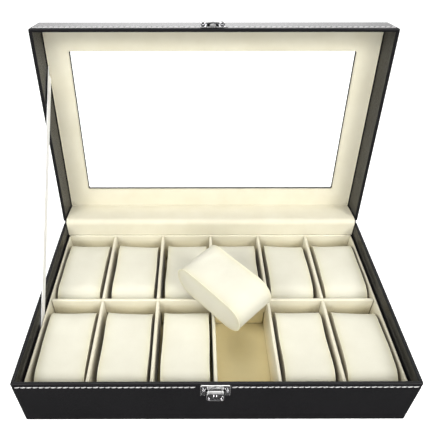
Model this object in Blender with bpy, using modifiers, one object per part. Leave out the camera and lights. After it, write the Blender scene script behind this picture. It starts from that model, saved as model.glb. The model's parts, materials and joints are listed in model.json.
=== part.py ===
"""A watch box with a hinged window lid, a lined tray of twelve slots and twelve watch pillows.

Metres, +Z up. The origin is the centre of the base's underside, +X runs along the box's long
side and -Y points out of the front face. The lid stands open at rest. One pillow is out of its
slot and lies across the tray.
"""

import math

import bmesh
import bpy
from mathutils import Euler, Matrix, Vector

# Outer box
WIDTH = 0.300
DEPTH = 0.1847
BASE_HEIGHT = 0.051
LID_HEIGHT = 0.0288
LID_OVERHANG = 0.0006
BOARD = 0.003
BOARD_EDGE = 0.0005
GAP = 0.0003

# Hinge: the leather sheet on the back is the hinge, and the lid turns about its fold
LEATHER = 0.0006
LID_OPEN = math.radians(96.9)
LEATHER_FOLD_RADIUS = 0.0009
HINGE_Y = DEPTH / 2 - LEATHER / 2
BACK_FACE_Y = DEPTH / 2 - LEATHER - GAP

# Tray lining
LINING_TOP = 0.0373
LINING = 0.0025
SIDE_LINING = 0.0017
SIDE_LINING_OFFSET = 0.0011
FLOOR_LINING = 0.001
CLOTH = 0.0006
CLOTH_FOLD_RADIUS = 0.0045
DIVIDER = 0.0028
COLUMNS = 6
COLUMN_PITCH = 0.04895

# Pillows
PILLOW_WIDTH = 0.039
PILLOW_LENGTH = 0.0740
PILLOW_HEIGHT = 0.0328
PILLOW_END_RADIUS = 0.0145
BACK_PILLOW_Y = 0.0420
FRONT_PILLOW_Y = -0.0448
EMPTY_COLUMN = 4
LOOSE_PILLOW_PLACE = (0.0083, -0.0027)
LOOSE_PILLOW_TURN = math.radians(43.0)
LOOSE_PILLOW_PITCH = math.radians(2.5)
LOOSE_PILLOW_ROLL = math.radians(-6.5)

# Lid window, measured on the closed lid
WINDOW_INSET_SIDE = 0.0236
WINDOW_INSET_FRONT = 0.0236
WINDOW_INSET_BACK = 0.024
FRAME_LINING_LOW = 0.0262
TOP_PANEL_LOW = 0.0271
WINDOW_REBATE_WIDTH = 0.004
WINDOW_REBATE_DEPTH = 0.0011
GLASS = 0.0008

# Stay ribbon: taut from the base's left wall to the lid's left wall
RIBBON_WIDTH = 0.008
RIBBON = 0.0005
RIBBON_BASE_Y = -0.0214
RIBBON_BASE_Z = 0.037
RIBBON_TUCK = 0.010
RIBBON_LID_REACH = 0.1445
RIBBON_LID_HEIGHT = 0.0258
RIBBON_LID_MARGIN = 0.0045

# Latch on the base's front face
LATCH_X = -0.0010
PLATE = 0.0008
LATCH_PLATE_WIDTH = 0.0223
LATCH_PLATE_TOP = 0.0506
LATCH_PLATE_MIDDLE_LOW = 0.0459
LATCH_EAR_LOW = 0.0377
LATCH_EAR_WIDTH = 0.0038
LATCH_PLATE_CORNER = 0.0012
LATCH_SCREW_X = 0.0089
LATCH_SCREW_Z = 0.0450
PIN_Z = 0.0453
PIN_OUT = 0.0029
PIN_RADIUS = 0.00055
PIN_BORE_RADIUS = 0.00075
BARREL_RADIUS = 0.00115
PIN_LENGTH = 0.0124
LUG_LENGTH = 0.0013
LEVER_BARREL_LENGTH = 0.0080
LEVER_WEB = 0.0013
WEB_INSET = 0.0001
LEVER_WIDTH = 0.0132
LEVER_TOP = 0.0438
LEVER_LOW = 0.0338
LEVER_BACK_OUT = 0.0006
LEVER_DEPTH = 0.0029
LEVER_WALL = 0.0007
LEVER_CORNER = 0.0026

# Catch on the lid's front face, measured up from the closed lid's lower edge
CATCH_WIDTH = 0.0200
CATCH_LOW = 0.0006
CATCH_HIGH = 0.0126
CATCH_LOW_CORNER = 0.001
CATCH_HIGH_CORNER = 0.002
NOSE_WIDTH = 0.0110
NOSE_OUT = 0.0042
NOSE_LOW = 0.0063
NOSE_CROWN = 0.0006
NOSE_CORNER = 0.001
NOSE_CROWN_CORNER = 0.004
LIP_HIGH = 0.0046
LIP_OUT = 0.0031
LIP_WIDTH = 0.0092
CATCH_SCREW_X = 0.0080
CATCH_SCREW_Z = 0.0080

# Screws
SCREW_HEAD_RADIUS = 0.0015
SCREW_HEAD = 0.0009
SCREW_SHANK_RADIUS = 0.0006
SCREW_SHANK_LENGTH = 0.0030
SCREW_HOLE_RADIUS = 0.0009
SCREW_HOLE_DEPTH = 0.0025

FRONT_FACE_Y = -DEPTH / 2
INNER_X = WIDTH / 2 - BOARD
INNER_FRONT_Y = FRONT_FACE_Y + BOARD
INNER_BACK_Y = BACK_FACE_Y - BOARD
FLOOR_TOP = BOARD + GAP + FLOOR_LINING
TRAY_X = INNER_X - SIDE_LINING_OFFSET - SIDE_LINING
TRAY_FRONT_Y = INNER_FRONT_Y + GAP + LINING
TRAY_BACK_Y = INNER_BACK_Y - GAP - LINING
DIVIDER_LOW = FLOOR_TOP + GAP
DIVIDER_MIDDLE = (DIVIDER_LOW + LINING_TOP) / 2
LID_HALF_WIDTH = WIDTH / 2 + LID_OVERHANG
LID_INNER_X = LID_HALF_WIDTH - BOARD
LID_FRONT_Y = FRONT_FACE_Y - LID_OVERHANG - HINGE_Y
LID_BACK_Y = BACK_FACE_Y - HINGE_Y
ROUND_STEPS = 20
ARC_STEPS = 4
MERGE_DISTANCE = 0.00005
DRAWING_MERGE_DISTANCE = 1e-6
SHARP_ANGLE = math.radians(40)

FACING_FRONT = (math.radians(90), 0, 0)
ALONG_X = (math.radians(90), 0, math.radians(90))
CYLINDER_ALONG_X = (0, math.radians(90), 0)


# Scene, collections and materials

def clear_scene():
    for obj in list(bpy.data.objects):
        bpy.data.objects.remove(obj, do_unlink=True)


def new_collection(name, hidden=False):
    collection = bpy.data.collections.new(name)
    bpy.context.scene.collection.children.link(collection)
    collection.hide_render = hidden
    return collection


def new_material(name, colour, roughness, metallic=0.0, alpha=1.0):
    material = bpy.data.materials.new(name)
    material.use_nodes = True
    shader = material.node_tree.nodes["Principled BSDF"]
    shader.inputs["Base Color"].default_value = (*colour, 1.0)
    shader.inputs["Roughness"].default_value = roughness
    shader.inputs["Metallic"].default_value = metallic
    shader.inputs["Alpha"].default_value = alpha
    return material


# Meshes

def block_mesh(size):
    mesh = bpy.data.meshes.new("block")
    shape = bmesh.new()
    bmesh.ops.create_cube(shape, size=1.0)
    bmesh.ops.scale(shape, vec=size, verts=shape.verts)
    shape.to_mesh(mesh)
    shape.free()
    return mesh


def cylinder_mesh(radius, length):
    mesh = bpy.data.meshes.new("cylinder")
    shape = bmesh.new()
    bmesh.ops.create_cone(
        shape, cap_ends=True, segments=ROUND_STEPS, radius1=radius, radius2=radius, depth=length
    )
    shape.to_mesh(mesh)
    shape.free()
    mesh.shade_smooth()
    mesh.set_sharp_from_angle(angle=SHARP_ANGLE)
    return mesh


def rounded_outline(corners, closed=True):
    """Points of an outline through corners (x, y, radius), with an arc at each rounded one."""
    points = []
    for index, (x, y, radius) in enumerate(corners):
        here = Vector((x, y))
        at_end = not closed and index in (0, len(corners) - 1)
        if radius == 0 or at_end:
            points.append(here)
            continue
        before = (Vector(corners[index - 1][:2]) - here).normalized()
        after = (Vector(corners[(index + 1) % len(corners)][:2]) - here).normalized()
        half_angle = before.angle(after) / 2
        centre = here + (before + after).normalized() * radius / math.sin(half_angle)
        first = (here + before * radius / math.tan(half_angle) - centre).normalized()
        last = (here + after * radius / math.tan(half_angle) - centre).normalized()
        for step in range(ARC_STEPS + 1):
            points.append(centre + radius * first.slerp(last, step / ARC_STEPS))
    return points


def curve_mesh(points, half_extrude, closed):
    """Mesh of a flat outline, or of an open strip, drawn as a curve in its local XY plane."""
    curve = bpy.data.curves.new("outline", "CURVE")
    curve.dimensions = "2D"
    curve.fill_mode = "BOTH" if closed else "NONE"
    curve.extrude = half_extrude
    spline = curve.splines.new("POLY")
    spline.points.add(len(points) - 1)
    for spot, (x, y) in zip(spline.points, points):
        spot.co = (x, y, 0, 1)
    spline.use_cyclic_u = closed
    drawn = bpy.data.objects.new("outline", curve)
    cutters.objects.link(drawn)
    graph = bpy.context.evaluated_depsgraph_get()
    mesh = bpy.data.meshes.new_from_object(drawn.evaluated_get(graph))
    bpy.data.objects.remove(drawn, do_unlink=True)
    bpy.data.curves.remove(curve)
    shape = bmesh.new()
    shape.from_mesh(mesh)
    bmesh.ops.remove_doubles(shape, verts=shape.verts, dist=DRAWING_MERGE_DISTANCE)
    shape.to_mesh(mesh)
    shape.free()
    mesh.shade_smooth()
    mesh.set_sharp_from_angle(angle=SHARP_ANGLE)
    return mesh


# Objects

def add(name, mesh, material, location=(0, 0, 0), rotation=(0, 0, 0), parent=None, group=None):
    """Every object passes through here. Its first user names a mesh; copies share it."""
    if mesh.users == 0:
        mesh.name = name
    if material and not mesh.materials:
        mesh.materials.append(material)
    obj = bpy.data.objects.new(name, mesh)
    (group or parts).objects.link(obj)
    obj.location = location
    obj.rotation_euler = rotation
    obj.parent = parent
    return obj


def block(name, low, high, material, parent=None, edge=0.0):
    """A box between two corners, given in its parent's space."""
    low = Vector(low)
    high = Vector(high)
    obj = add(name, block_mesh(high - low), material, (low + high) / 2, parent=parent)
    if edge:
        rounding = obj.modifiers.new("rounded edges", "BEVEL")
        rounding.width = edge
        rounding.segments = 2
    return obj


def helper(name, mesh, location, rotation=(0, 0, 0), parent=None):
    obj = add(name, mesh, None, location, rotation, parent, cutters)
    obj.hide_render = True
    obj.display_type = "WIRE"
    return obj


def block_helper(name, low, high, parent=None):
    low = Vector(low)
    high = Vector(high)
    return helper(name, block_mesh(high - low), (low + high) / 2, parent=parent)


def combine(obj, operation, *others):
    for other in others:
        boolean = obj.modifiers.new(other.name, "BOOLEAN")
        boolean.operation = operation
        boolean.solver = "EXACT"
        boolean.object = other


def strip(name, points, width, thickness, material):
    """A cloth or leather sheet of even thickness that follows a path of (y, z) points."""
    obj = add(name, curve_mesh(points, width / 2, closed=False), material, rotation=ALONG_X)
    skin = obj.modifiers.new("sheet", "SOLIDIFY")
    skin.thickness = thickness
    skin.offset = 0
    skin.use_even_offset = True
    return obj


def on_open_lid(y, z):
    """World (y, z) of a point of the open lid, given as measured from the hinge when closed."""
    turned = Matrix.Rotation(-LID_OPEN, 2) @ Vector((y, z))
    return turned.x + HINGE_Y, turned.y + BASE_HEIGHT


# Base

def build_base_boards():
    top = BASE_HEIGHT - GAP / 2
    side_front = INNER_FRONT_Y + GAP
    side_back = INNER_BACK_Y - GAP
    front = block(
        "base_front_board",
        (-WIDTH / 2, FRONT_FACE_Y, 0),
        (WIDTH / 2, INNER_FRONT_Y, top),
        leatherette,
        edge=BOARD_EDGE,
    )
    block(
        "base_back_board",
        (-WIDTH / 2, INNER_BACK_Y, 0),
        (WIDTH / 2, BACK_FACE_Y, top),
        leatherette,
        edge=BOARD_EDGE,
    )
    for side, name in ((-1, "base_left_board"), (1, "base_right_board")):
        xs = sorted((side * INNER_X, side * WIDTH / 2))
        block(name, (xs[0], side_front, 0), (xs[1], side_back, top), leatherette, edge=BOARD_EDGE)
    block(
        "base_bottom_board",
        (-INNER_X + GAP, side_front, 0),
        (INNER_X - GAP, side_back, BOARD),
        leatherette,
        edge=BOARD_EDGE,
    )
    for side in (-1, 1):
        hole = helper(
            f"latch_screw_hole_{side}",
            cylinder_mesh(SCREW_HOLE_RADIUS, 2 * SCREW_HOLE_DEPTH),
            (LATCH_X + side * LATCH_SCREW_X, FRONT_FACE_Y, LATCH_SCREW_Z),
            FACING_FRONT,
        )
        combine(front, "DIFFERENCE", hole)


def build_tray_lining():
    low = BOARD + GAP
    block(
        "floor_lining",
        (-INNER_X + GAP, INNER_FRONT_Y + GAP, low),
        (INNER_X - GAP, INNER_BACK_Y - GAP, FLOOR_TOP),
        velvet,
    )
    wall_low = FLOOR_TOP + GAP
    for name, y_low, y_high in (
        ("front_lining", INNER_FRONT_Y + GAP, TRAY_FRONT_Y),
        ("back_lining", TRAY_BACK_Y, INNER_BACK_Y - GAP),
    ):
        block(
            name,
            (-TRAY_X - SIDE_LINING, y_low, wall_low),
            (TRAY_X + SIDE_LINING, y_high, LINING_TOP),
            velvet,
            edge=BOARD_EDGE,
        )
    for side, name in ((-1, "left_lining"), (1, "right_lining")):
        xs = sorted((side * TRAY_X, side * (TRAY_X + SIDE_LINING)))
        block(
            name,
            (xs[0], TRAY_FRONT_Y + GAP, wall_low),
            (xs[1], TRAY_BACK_Y - GAP, LINING_TOP),
            velvet,
            edge=BOARD_EDGE,
        )


def build_dividers():
    """Column dividers and one cross divider, halved together where they meet."""
    slot = DIVIDER / 2 + GAP
    cross = block(
        "cross_divider",
        (-TRAY_X + GAP, -DIVIDER / 2, DIVIDER_LOW),
        (TRAY_X - GAP, DIVIDER / 2, LINING_TOP),
        velvet,
        edge=BOARD_EDGE,
    )
    for index in range(1, COLUMNS):
        x = (index - COLUMNS / 2) * COLUMN_PITCH
        column = block(
            f"column_divider_{index}",
            (x - DIVIDER / 2, TRAY_FRONT_Y + GAP, DIVIDER_LOW),
            (x + DIVIDER / 2, TRAY_BACK_Y - GAP, LINING_TOP),
            velvet,
            edge=BOARD_EDGE,
        )
        upper = block_helper(
            f"column_halving_{index}",
            (x - DIVIDER, -slot, DIVIDER_MIDDLE - GAP / 2),
            (x + DIVIDER, slot, LINING_TOP + DIVIDER),
        )
        lower = block_helper(
            f"cross_halving_{index}",
            (x - slot, -DIVIDER, DIVIDER_LOW - DIVIDER),
            (x + slot, DIVIDER, DIVIDER_MIDDLE + GAP / 2),
        )
        combine(column, "DIFFERENCE", upper)
        combine(cross, "DIFFERENCE", lower)


# Pillows

def pillow_mesh():
    half_length = PILLOW_LENGTH / 2
    half_height = PILLOW_HEIGHT / 2
    profile = rounded_outline(
        [
            (-half_length, -half_height, PILLOW_END_RADIUS),
            (half_length, -half_height, PILLOW_END_RADIUS),
            (half_length, half_height, PILLOW_END_RADIUS),
            (-half_length, half_height, PILLOW_END_RADIUS),
        ]
    )
    return curve_mesh(profile, PILLOW_WIDTH / 2, closed=True)


def pillow_reach(direction):
    """Distance from a pillow's centre to its furthest point in a direction of its own space."""
    straight_length = PILLOW_LENGTH / 2 - PILLOW_END_RADIUS
    straight_height = PILLOW_HEIGHT / 2 - PILLOW_END_RADIUS
    return (
        straight_length * abs(direction.x)
        + straight_height * abs(direction.y)
        + PILLOW_END_RADIUS * math.hypot(direction.x, direction.y)
        + PILLOW_WIDTH / 2 * abs(direction.z)
    )


def build_pillows():
    mesh = pillow_mesh()
    seated_z = FLOOR_TOP + GAP + PILLOW_HEIGHT / 2
    for row, y in (("back", BACK_PILLOW_Y), ("front", FRONT_PILLOW_Y)):
        for column in range(1, COLUMNS + 1):
            if (row, column) == ("front", EMPTY_COLUMN):
                continue
            x = (column - (COLUMNS + 1) / 2) * COLUMN_PITCH
            add(f"pillow_{row}_{column}", mesh, pillow_velvet, (x, y, seated_z), ALONG_X)
    tilt = (
        Matrix.Rotation(LOOSE_PILLOW_TURN, 3, "Z")
        @ Matrix.Rotation(LOOSE_PILLOW_PITCH, 3, "X")
        @ Matrix.Rotation(LOOSE_PILLOW_ROLL, 3, "Y")
        @ Euler(ALONG_X).to_matrix()
    )
    rests_on = FLOOR_TOP + GAP + PILLOW_HEIGHT + GAP
    loose_z = rests_on + pillow_reach(tilt.inverted() @ Vector((0, 0, -1)))
    add("pillow_loose", mesh, pillow_velvet, (*LOOSE_PILLOW_PLACE, loose_z), tilt.to_euler())


# Lid, in the space of the hinge axis with the lid closed

def lid_axis():
    axis = bpy.data.objects.new("lid_hinge_axis", None)
    parts.objects.link(axis)
    axis.location = (0, HINGE_Y, BASE_HEIGHT)
    axis.rotation_euler = (-LID_OPEN, 0, 0)
    return axis


def build_lid_boards(axis):
    low = GAP / 2
    front = block(
        "lid_front_board",
        (-LID_HALF_WIDTH, LID_FRONT_Y, low),
        (LID_HALF_WIDTH, LID_FRONT_Y + BOARD, LID_HEIGHT),
        leatherette,
        axis,
        BOARD_EDGE,
    )
    block(
        "lid_back_board",
        (-LID_HALF_WIDTH, LID_BACK_Y - BOARD, low),
        (LID_HALF_WIDTH, LID_BACK_Y, LID_HEIGHT),
        leatherette,
        axis,
        BOARD_EDGE,
    )
    for side, name in ((-1, "lid_left_board"), (1, "lid_right_board")):
        xs = sorted((side * LID_INNER_X, side * LID_HALF_WIDTH))
        block(
            name,
            (xs[0], LID_FRONT_Y + BOARD + GAP, low),
            (xs[1], LID_BACK_Y - BOARD - GAP, LID_HEIGHT),
            leatherette,
            axis,
            BOARD_EDGE,
        )
    for side in (-1, 1):
        hole = helper(
            f"catch_screw_hole_{side}",
            cylinder_mesh(SCREW_HOLE_RADIUS, 2 * SCREW_HOLE_DEPTH),
            (LATCH_X + side * CATCH_SCREW_X, LID_FRONT_Y, CATCH_SCREW_Z),
            FACING_FRONT,
            axis,
        )
        combine(front, "DIFFERENCE", hole)


def build_window(axis):
    """Top panel with a rebated opening, the pane in the rebate, and the lining frame under it."""
    inner_front = LID_FRONT_Y + BOARD + GAP
    inner_back = LID_BACK_Y - BOARD - GAP
    inner_x = LID_INNER_X - GAP
    open_x = LID_HALF_WIDTH - WINDOW_INSET_SIDE
    open_front = LID_FRONT_Y + WINDOW_INSET_FRONT
    open_back = -WINDOW_INSET_BACK

    def around_window(name, margin, low, high, make):
        return make(
            name,
            (-open_x - margin, open_front - margin, low),
            (open_x + margin, open_back + margin, high),
        )

    def cutter(name, low, high):
        return block_helper(name, low, high, axis)

    def pane(name, low, high):
        return block(name, low, high, glass, axis)

    panel = block(
        "lid_top_panel",
        (-inner_x, inner_front, TOP_PANEL_LOW),
        (inner_x, inner_back, LID_HEIGHT),
        leatherette,
        axis,
    )
    rebate_high = TOP_PANEL_LOW + WINDOW_REBATE_DEPTH
    opening = around_window("window_opening", 0, 0, 2 * LID_HEIGHT, cutter)
    rebate = around_window("window_rebate", WINDOW_REBATE_WIDTH, 0, rebate_high, cutter)
    combine(panel, "DIFFERENCE", opening, rebate)

    lining = block(
        "lid_frame_lining",
        (-inner_x, inner_front, FRAME_LINING_LOW),
        (inner_x, inner_back, FRAME_LINING_LOW + CLOTH),
        velvet,
        axis,
    )
    combine(lining, "DIFFERENCE", around_window("lining_opening", GAP, 0, LID_HEIGHT, cutter))

    around_window(
        "window_pane", WINDOW_REBATE_WIDTH - GAP, TOP_PANEL_LOW, TOP_PANEL_LOW + GLASS, pane
    )


# Hinge sheets and stay ribbon, drawn as they lie with the lid open

def build_hinge_sheets():
    leather_path = [
        (HINGE_Y, BOARD_EDGE, 0),
        (HINGE_Y, BASE_HEIGHT, LEATHER_FOLD_RADIUS),
        (*on_open_lid(0, LID_HEIGHT - BOARD_EDGE), 0),
    ]
    strip("back_leather_hinge", rounded_outline(leather_path, False), WIDTH, LEATHER, leatherette)

    from_board = GAP + CLOTH / 2
    cloth_y = INNER_BACK_Y - from_board
    lid_cloth_y = cloth_y - HINGE_Y
    corner_z = BASE_HEIGHT - lid_cloth_y * math.tan(LID_OPEN / 2)
    cloth_path = [
        (cloth_y, LINING_TOP + GAP, 0),
        (cloth_y, corner_z, CLOTH_FOLD_RADIUS),
        (*on_open_lid(lid_cloth_y, FRAME_LINING_LOW - GAP), 0),
    ]
    width = 2 * (INNER_X - GAP)
    strip("hinge_lining_cloth", rounded_outline(cloth_path, False), width, CLOTH, velvet)


def build_stay_ribbon():
    reach = Vector(on_open_lid(-RIBBON_LID_REACH, RIBBON_LID_HEIGHT))
    foot = Vector((RIBBON_BASE_Y, RIBBON_BASE_Z))
    along = (reach - foot).normalized()
    low = foot - along * RIBBON_TUCK
    high = reach - along * RIBBON_LID_MARGIN
    middle = (low + high) / 2
    add(
        "stay_ribbon",
        block_mesh((RIBBON, (high - low).length, RIBBON_WIDTH)),
        satin,
        (-INNER_X + GAP + RIBBON / 2, middle.x, middle.y),
        (math.atan2(along.y, along.x), 0, 0),
    )


# Latch and catch

def plate_mesh(corners, thickness):
    return curve_mesh(rounded_outline(corners), thickness / 2, closed=True)


def screw(name, location, parent=None):
    """A pan-head screw turned about its own axis, head outwards."""
    profile = [(0, SCREW_HEAD)]
    for step in range(1, ARC_STEPS + 1):
        angle = math.radians(90) * step / ARC_STEPS
        profile.append((SCREW_HEAD_RADIUS * math.sin(angle), SCREW_HEAD * math.cos(angle)))
    profile += [(SCREW_SHANK_RADIUS, 0), (SCREW_SHANK_RADIUS, -SCREW_SHANK_LENGTH)]
    profile.append((0, -SCREW_SHANK_LENGTH))
    mesh = bpy.data.meshes.new(name)
    shape = bmesh.new()
    spots = [shape.verts.new((x, 0, z)) for x, z in profile]
    for first, second in zip(spots, spots[1:]):
        shape.edges.new((first, second))
    shape.to_mesh(mesh)
    shape.free()
    obj = add(name, mesh, chrome, location, FACING_FRONT, parent)
    turning = obj.modifiers.new("turned", "SCREW")
    turning.steps = ROUND_STEPS
    turning.render_steps = ROUND_STEPS
    turning.use_merge_vertices = True
    turning.merge_threshold = MERGE_DISTANCE
    return obj


def build_latch_plate():
    """A plate with an ear down each side, and two lugs that hold the lever's pin."""
    half = LATCH_PLATE_WIDTH / 2
    ear = half - LATCH_EAR_WIDTH
    corners = [
        (-half, LATCH_EAR_LOW, LATCH_PLATE_CORNER),
        (half, LATCH_EAR_LOW, LATCH_PLATE_CORNER),
        (half, LATCH_PLATE_TOP, LATCH_PLATE_CORNER),
        (-half, LATCH_PLATE_TOP, LATCH_PLATE_CORNER),
    ]
    middle_y = FRONT_FACE_Y - GAP - PLATE / 2
    plate = add("latch_plate", plate_mesh(corners, PLATE), chrome, (LATCH_X, middle_y, 0), FACING_FRONT)
    between_ears = block_helper(
        "between_ears",
        (LATCH_X - ear, middle_y - 2 * PLATE, LATCH_EAR_LOW - PLATE),
        (LATCH_X + ear, middle_y + 2 * PLATE, LATCH_PLATE_MIDDLE_LOW),
    )
    combine(plate, "DIFFERENCE", between_ears)
    pin_y = FRONT_FACE_Y - PIN_OUT
    lug_x = LEVER_BARREL_LENGTH / 2 + GAP + LUG_LENGTH / 2
    for side in (-1, 1):
        x = LATCH_X + side * lug_x
        lug = helper(
            f"lug_{side}",
            cylinder_mesh(BARREL_RADIUS, LUG_LENGTH),
            (x, pin_y, PIN_Z),
            CYLINDER_ALONG_X,
        )
        web = block_helper(
            f"lug_web_{side}",
            (x - LUG_LENGTH / 2 + WEB_INSET, pin_y + WEB_INSET, PIN_Z + WEB_INSET),
            (x + LUG_LENGTH / 2 - WEB_INSET, middle_y, PIN_Z + BARREL_RADIUS - WEB_INSET),
        )
        combine(plate, "UNION", web, lug)
    pin_bore = helper(
        "lug_bore",
        cylinder_mesh(PIN_BORE_RADIUS, 2 * PIN_LENGTH),
        (LATCH_X, pin_y, PIN_Z),
        CYLINDER_ALONG_X,
    )
    combine(plate, "DIFFERENCE", pin_bore)
    for side in (-1, 1):
        hole = helper(
            f"plate_hole_{side}",
            cylinder_mesh(SCREW_HOLE_RADIUS, 4 * PLATE),
            (LATCH_X + side * LATCH_SCREW_X, middle_y, LATCH_SCREW_Z),
            FACING_FRONT,
        )
        combine(plate, "DIFFERENCE", hole)
    add(
        "latch_pin",
        cylinder_mesh(PIN_RADIUS, PIN_LENGTH),
        chrome,
        (LATCH_X, pin_y, PIN_Z),
        CYLINDER_ALONG_X,
    )
    head_y = FRONT_FACE_Y - GAP - PLATE - GAP
    for side, name in ((-1, "latch_screw_left"), (1, "latch_screw_right")):
        screw(name, (LATCH_X + side * LATCH_SCREW_X, head_y, LATCH_SCREW_Z))


def build_latch_lever():
    """A shallow pan that hangs from the pin, hollow side out. Its origin is on the pin's axis."""
    half = LEVER_WIDTH / 2
    top = LEVER_TOP - PIN_Z
    low = LEVER_LOW - PIN_Z
    middle_out = LEVER_BACK_OUT + LEVER_DEPTH / 2 - PIN_OUT

    def pan_outline(inset):
        return [
            (-half + inset, low + inset, LEVER_CORNER - inset),
            (half - inset, low + inset, LEVER_CORNER - inset),
            (half - inset, top - inset, LEVER_WALL),
            (-half + inset, top - inset, LEVER_WALL),
        ]

    lever = add(
        "latch_lever",
        plate_mesh(pan_outline(0), LEVER_DEPTH),
        chrome,
        (LATCH_X, FRONT_FACE_Y - PIN_OUT, PIN_Z),
        FACING_FRONT,
    )
    # The pan's mesh is centred on the axis in depth, so it is moved to hang behind the pin.
    lever.data.transform(Matrix.Translation((0, 0, middle_out)))
    hollow = helper("lever_hollow", plate_mesh(pan_outline(LEVER_WALL), LEVER_DEPTH), lever.location)
    hollow.rotation_euler = FACING_FRONT
    hollow.data.transform(Matrix.Translation((0, 0, middle_out + LEVER_WALL)))
    barrel = helper(
        "lever_barrel",
        cylinder_mesh(BARREL_RADIUS, LEVER_BARREL_LENGTH),
        lever.location,
        CYLINDER_ALONG_X,
    )
    web_x = LEVER_BARREL_LENGTH / 2 - WEB_INSET
    web_y = FRONT_FACE_Y - PIN_OUT
    web = block_helper(
        "lever_web",
        (LATCH_X - web_x, web_y + WEB_INSET, LEVER_TOP - LEVER_WALL / 2),
        (LATCH_X + web_x, web_y + LEVER_WEB, PIN_Z - WEB_INSET),
    )
    bore = helper(
        "lever_bore",
        cylinder_mesh(PIN_BORE_RADIUS, 2 * LEVER_BARREL_LENGTH),
        lever.location,
        CYLINDER_ALONG_X,
    )
    combine(lever, "DIFFERENCE", hollow)
    combine(lever, "UNION", web, barrel)
    combine(lever, "DIFFERENCE", bore)


def build_catch(axis):
    """A plate with a raised nose, and a lip below it that the lever's end hooks over."""
    middle_y = LID_FRONT_Y - GAP - PLATE / 2
    half = CATCH_WIDTH / 2
    corners = [
        (-half, CATCH_LOW, CATCH_LOW_CORNER),
        (half, CATCH_LOW, CATCH_LOW_CORNER),
        (half, CATCH_HIGH, CATCH_HIGH_CORNER),
        (-half, CATCH_HIGH, CATCH_HIGH_CORNER),
    ]
    plate = add(
        "catch_plate",
        plate_mesh(corners, PLATE),
        chrome,
        (LATCH_X, middle_y, 0),
        FACING_FRONT,
        axis,
    )
    nose_x = NOSE_WIDTH / 2
    nose_reach = NOSE_OUT - GAP - PLATE / 2
    nose_profile = [
        (-nose_x, 0, 0),
        (nose_x, 0, 0),
        (nose_x, nose_reach - NOSE_CROWN, NOSE_CORNER),
        (0, nose_reach, NOSE_CROWN_CORNER),
        (-nose_x, nose_reach - NOSE_CROWN, NOSE_CORNER),
    ]
    nose_height = CATCH_HIGH - BOARD_EDGE - NOSE_LOW
    nose = helper(
        "nose",
        plate_mesh(nose_profile, nose_height),
        (LATCH_X, middle_y, NOSE_LOW + nose_height / 2),
        (math.radians(180), 0, 0),
        axis,
    )
    lip = block_helper(
        "lip",
        (LATCH_X - LIP_WIDTH / 2, LID_FRONT_Y - LIP_OUT, CATCH_LOW + BOARD_EDGE),
        (LATCH_X + LIP_WIDTH / 2, middle_y, LIP_HIGH),
        axis,
    )
    combine(plate, "UNION", nose, lip)
    head_y = LID_FRONT_Y - GAP - PLATE - GAP
    for side, name in ((-1, "catch_screw_left"), (1, "catch_screw_right")):
        x = LATCH_X + side * CATCH_SCREW_X
        hole = helper(
            f"catch_hole_{side}",
            cylinder_mesh(SCREW_HOLE_RADIUS, 4 * PLATE),
            (x, middle_y, CATCH_SCREW_Z),
            FACING_FRONT,
            axis,
        )
        combine(plate, "DIFFERENCE", hole)
        screw(name, (x, head_y, CATCH_SCREW_Z), axis)


clear_scene()
parts = new_collection("watch_box")
cutters = new_collection("cutters", hidden=True)

leatherette = new_material("black leatherette", (0.022, 0.022, 0.024), 0.42)
velvet = new_material("cream velvet lining", (0.80, 0.74, 0.56), 0.95)
pillow_velvet = new_material("ivory pillow velvet", (0.88, 0.84, 0.72), 0.95)
satin = new_material("white satin", (0.90, 0.90, 0.88), 0.45)
chrome = new_material("chrome", (0.78, 0.78, 0.80), 0.12, metallic=1.0)
glass = new_material("clear glass", (0.95, 0.97, 0.97), 0.02, alpha=0.25)

build_base_boards()
build_tray_lining()
build_dividers()
build_pillows()
lid = lid_axis()
build_lid_boards(lid)
build_window(lid)
build_hinge_sheets()
build_stay_ribbon()
build_latch_plate()
build_latch_lever()
build_catch(lid)
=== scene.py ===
"""Looks of the watch box: stitched leatherette, velvet lining and pillows, satin ribbon, chrome latch.

Metres, in the frame of the CAD model. The lid stands open at rest, so pieces of the lid are drawn
closed and then turned open about the hinge.
"""

import json
import math

import bmesh
import bpy
import numpy as np
from mathutils import Matrix, Vector, noise


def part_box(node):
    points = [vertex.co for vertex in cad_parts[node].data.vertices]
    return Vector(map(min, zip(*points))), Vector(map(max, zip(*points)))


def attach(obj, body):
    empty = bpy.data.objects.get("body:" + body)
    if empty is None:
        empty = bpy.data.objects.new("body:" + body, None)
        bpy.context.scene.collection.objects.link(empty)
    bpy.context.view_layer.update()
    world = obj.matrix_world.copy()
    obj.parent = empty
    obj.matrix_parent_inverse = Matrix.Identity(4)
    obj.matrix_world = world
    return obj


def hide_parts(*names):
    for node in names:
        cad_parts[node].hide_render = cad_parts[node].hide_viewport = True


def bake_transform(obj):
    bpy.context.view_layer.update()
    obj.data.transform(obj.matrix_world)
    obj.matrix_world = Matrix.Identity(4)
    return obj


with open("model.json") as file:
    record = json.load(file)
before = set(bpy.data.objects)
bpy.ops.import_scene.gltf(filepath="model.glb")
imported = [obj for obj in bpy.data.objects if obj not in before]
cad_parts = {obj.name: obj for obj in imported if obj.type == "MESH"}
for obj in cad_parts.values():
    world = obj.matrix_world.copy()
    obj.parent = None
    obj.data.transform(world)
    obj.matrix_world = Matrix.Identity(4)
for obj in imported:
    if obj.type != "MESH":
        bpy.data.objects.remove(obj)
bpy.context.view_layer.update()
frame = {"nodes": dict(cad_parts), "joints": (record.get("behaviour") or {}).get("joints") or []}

# Leatherette wrap
BOARD = 0.003
RIM_RADIUS = 0.0011
FOOT_RADIUS = 0.0008
CORNER_RADIUS = 0.0016
GROOVE_BELOW_RIM = 0.0023
GROOVE_DEPTH = 0.0008
GROOVE_HALF_WIDTH = 0.0008
STITCH_BELOW_RIM = 0.0042
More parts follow.
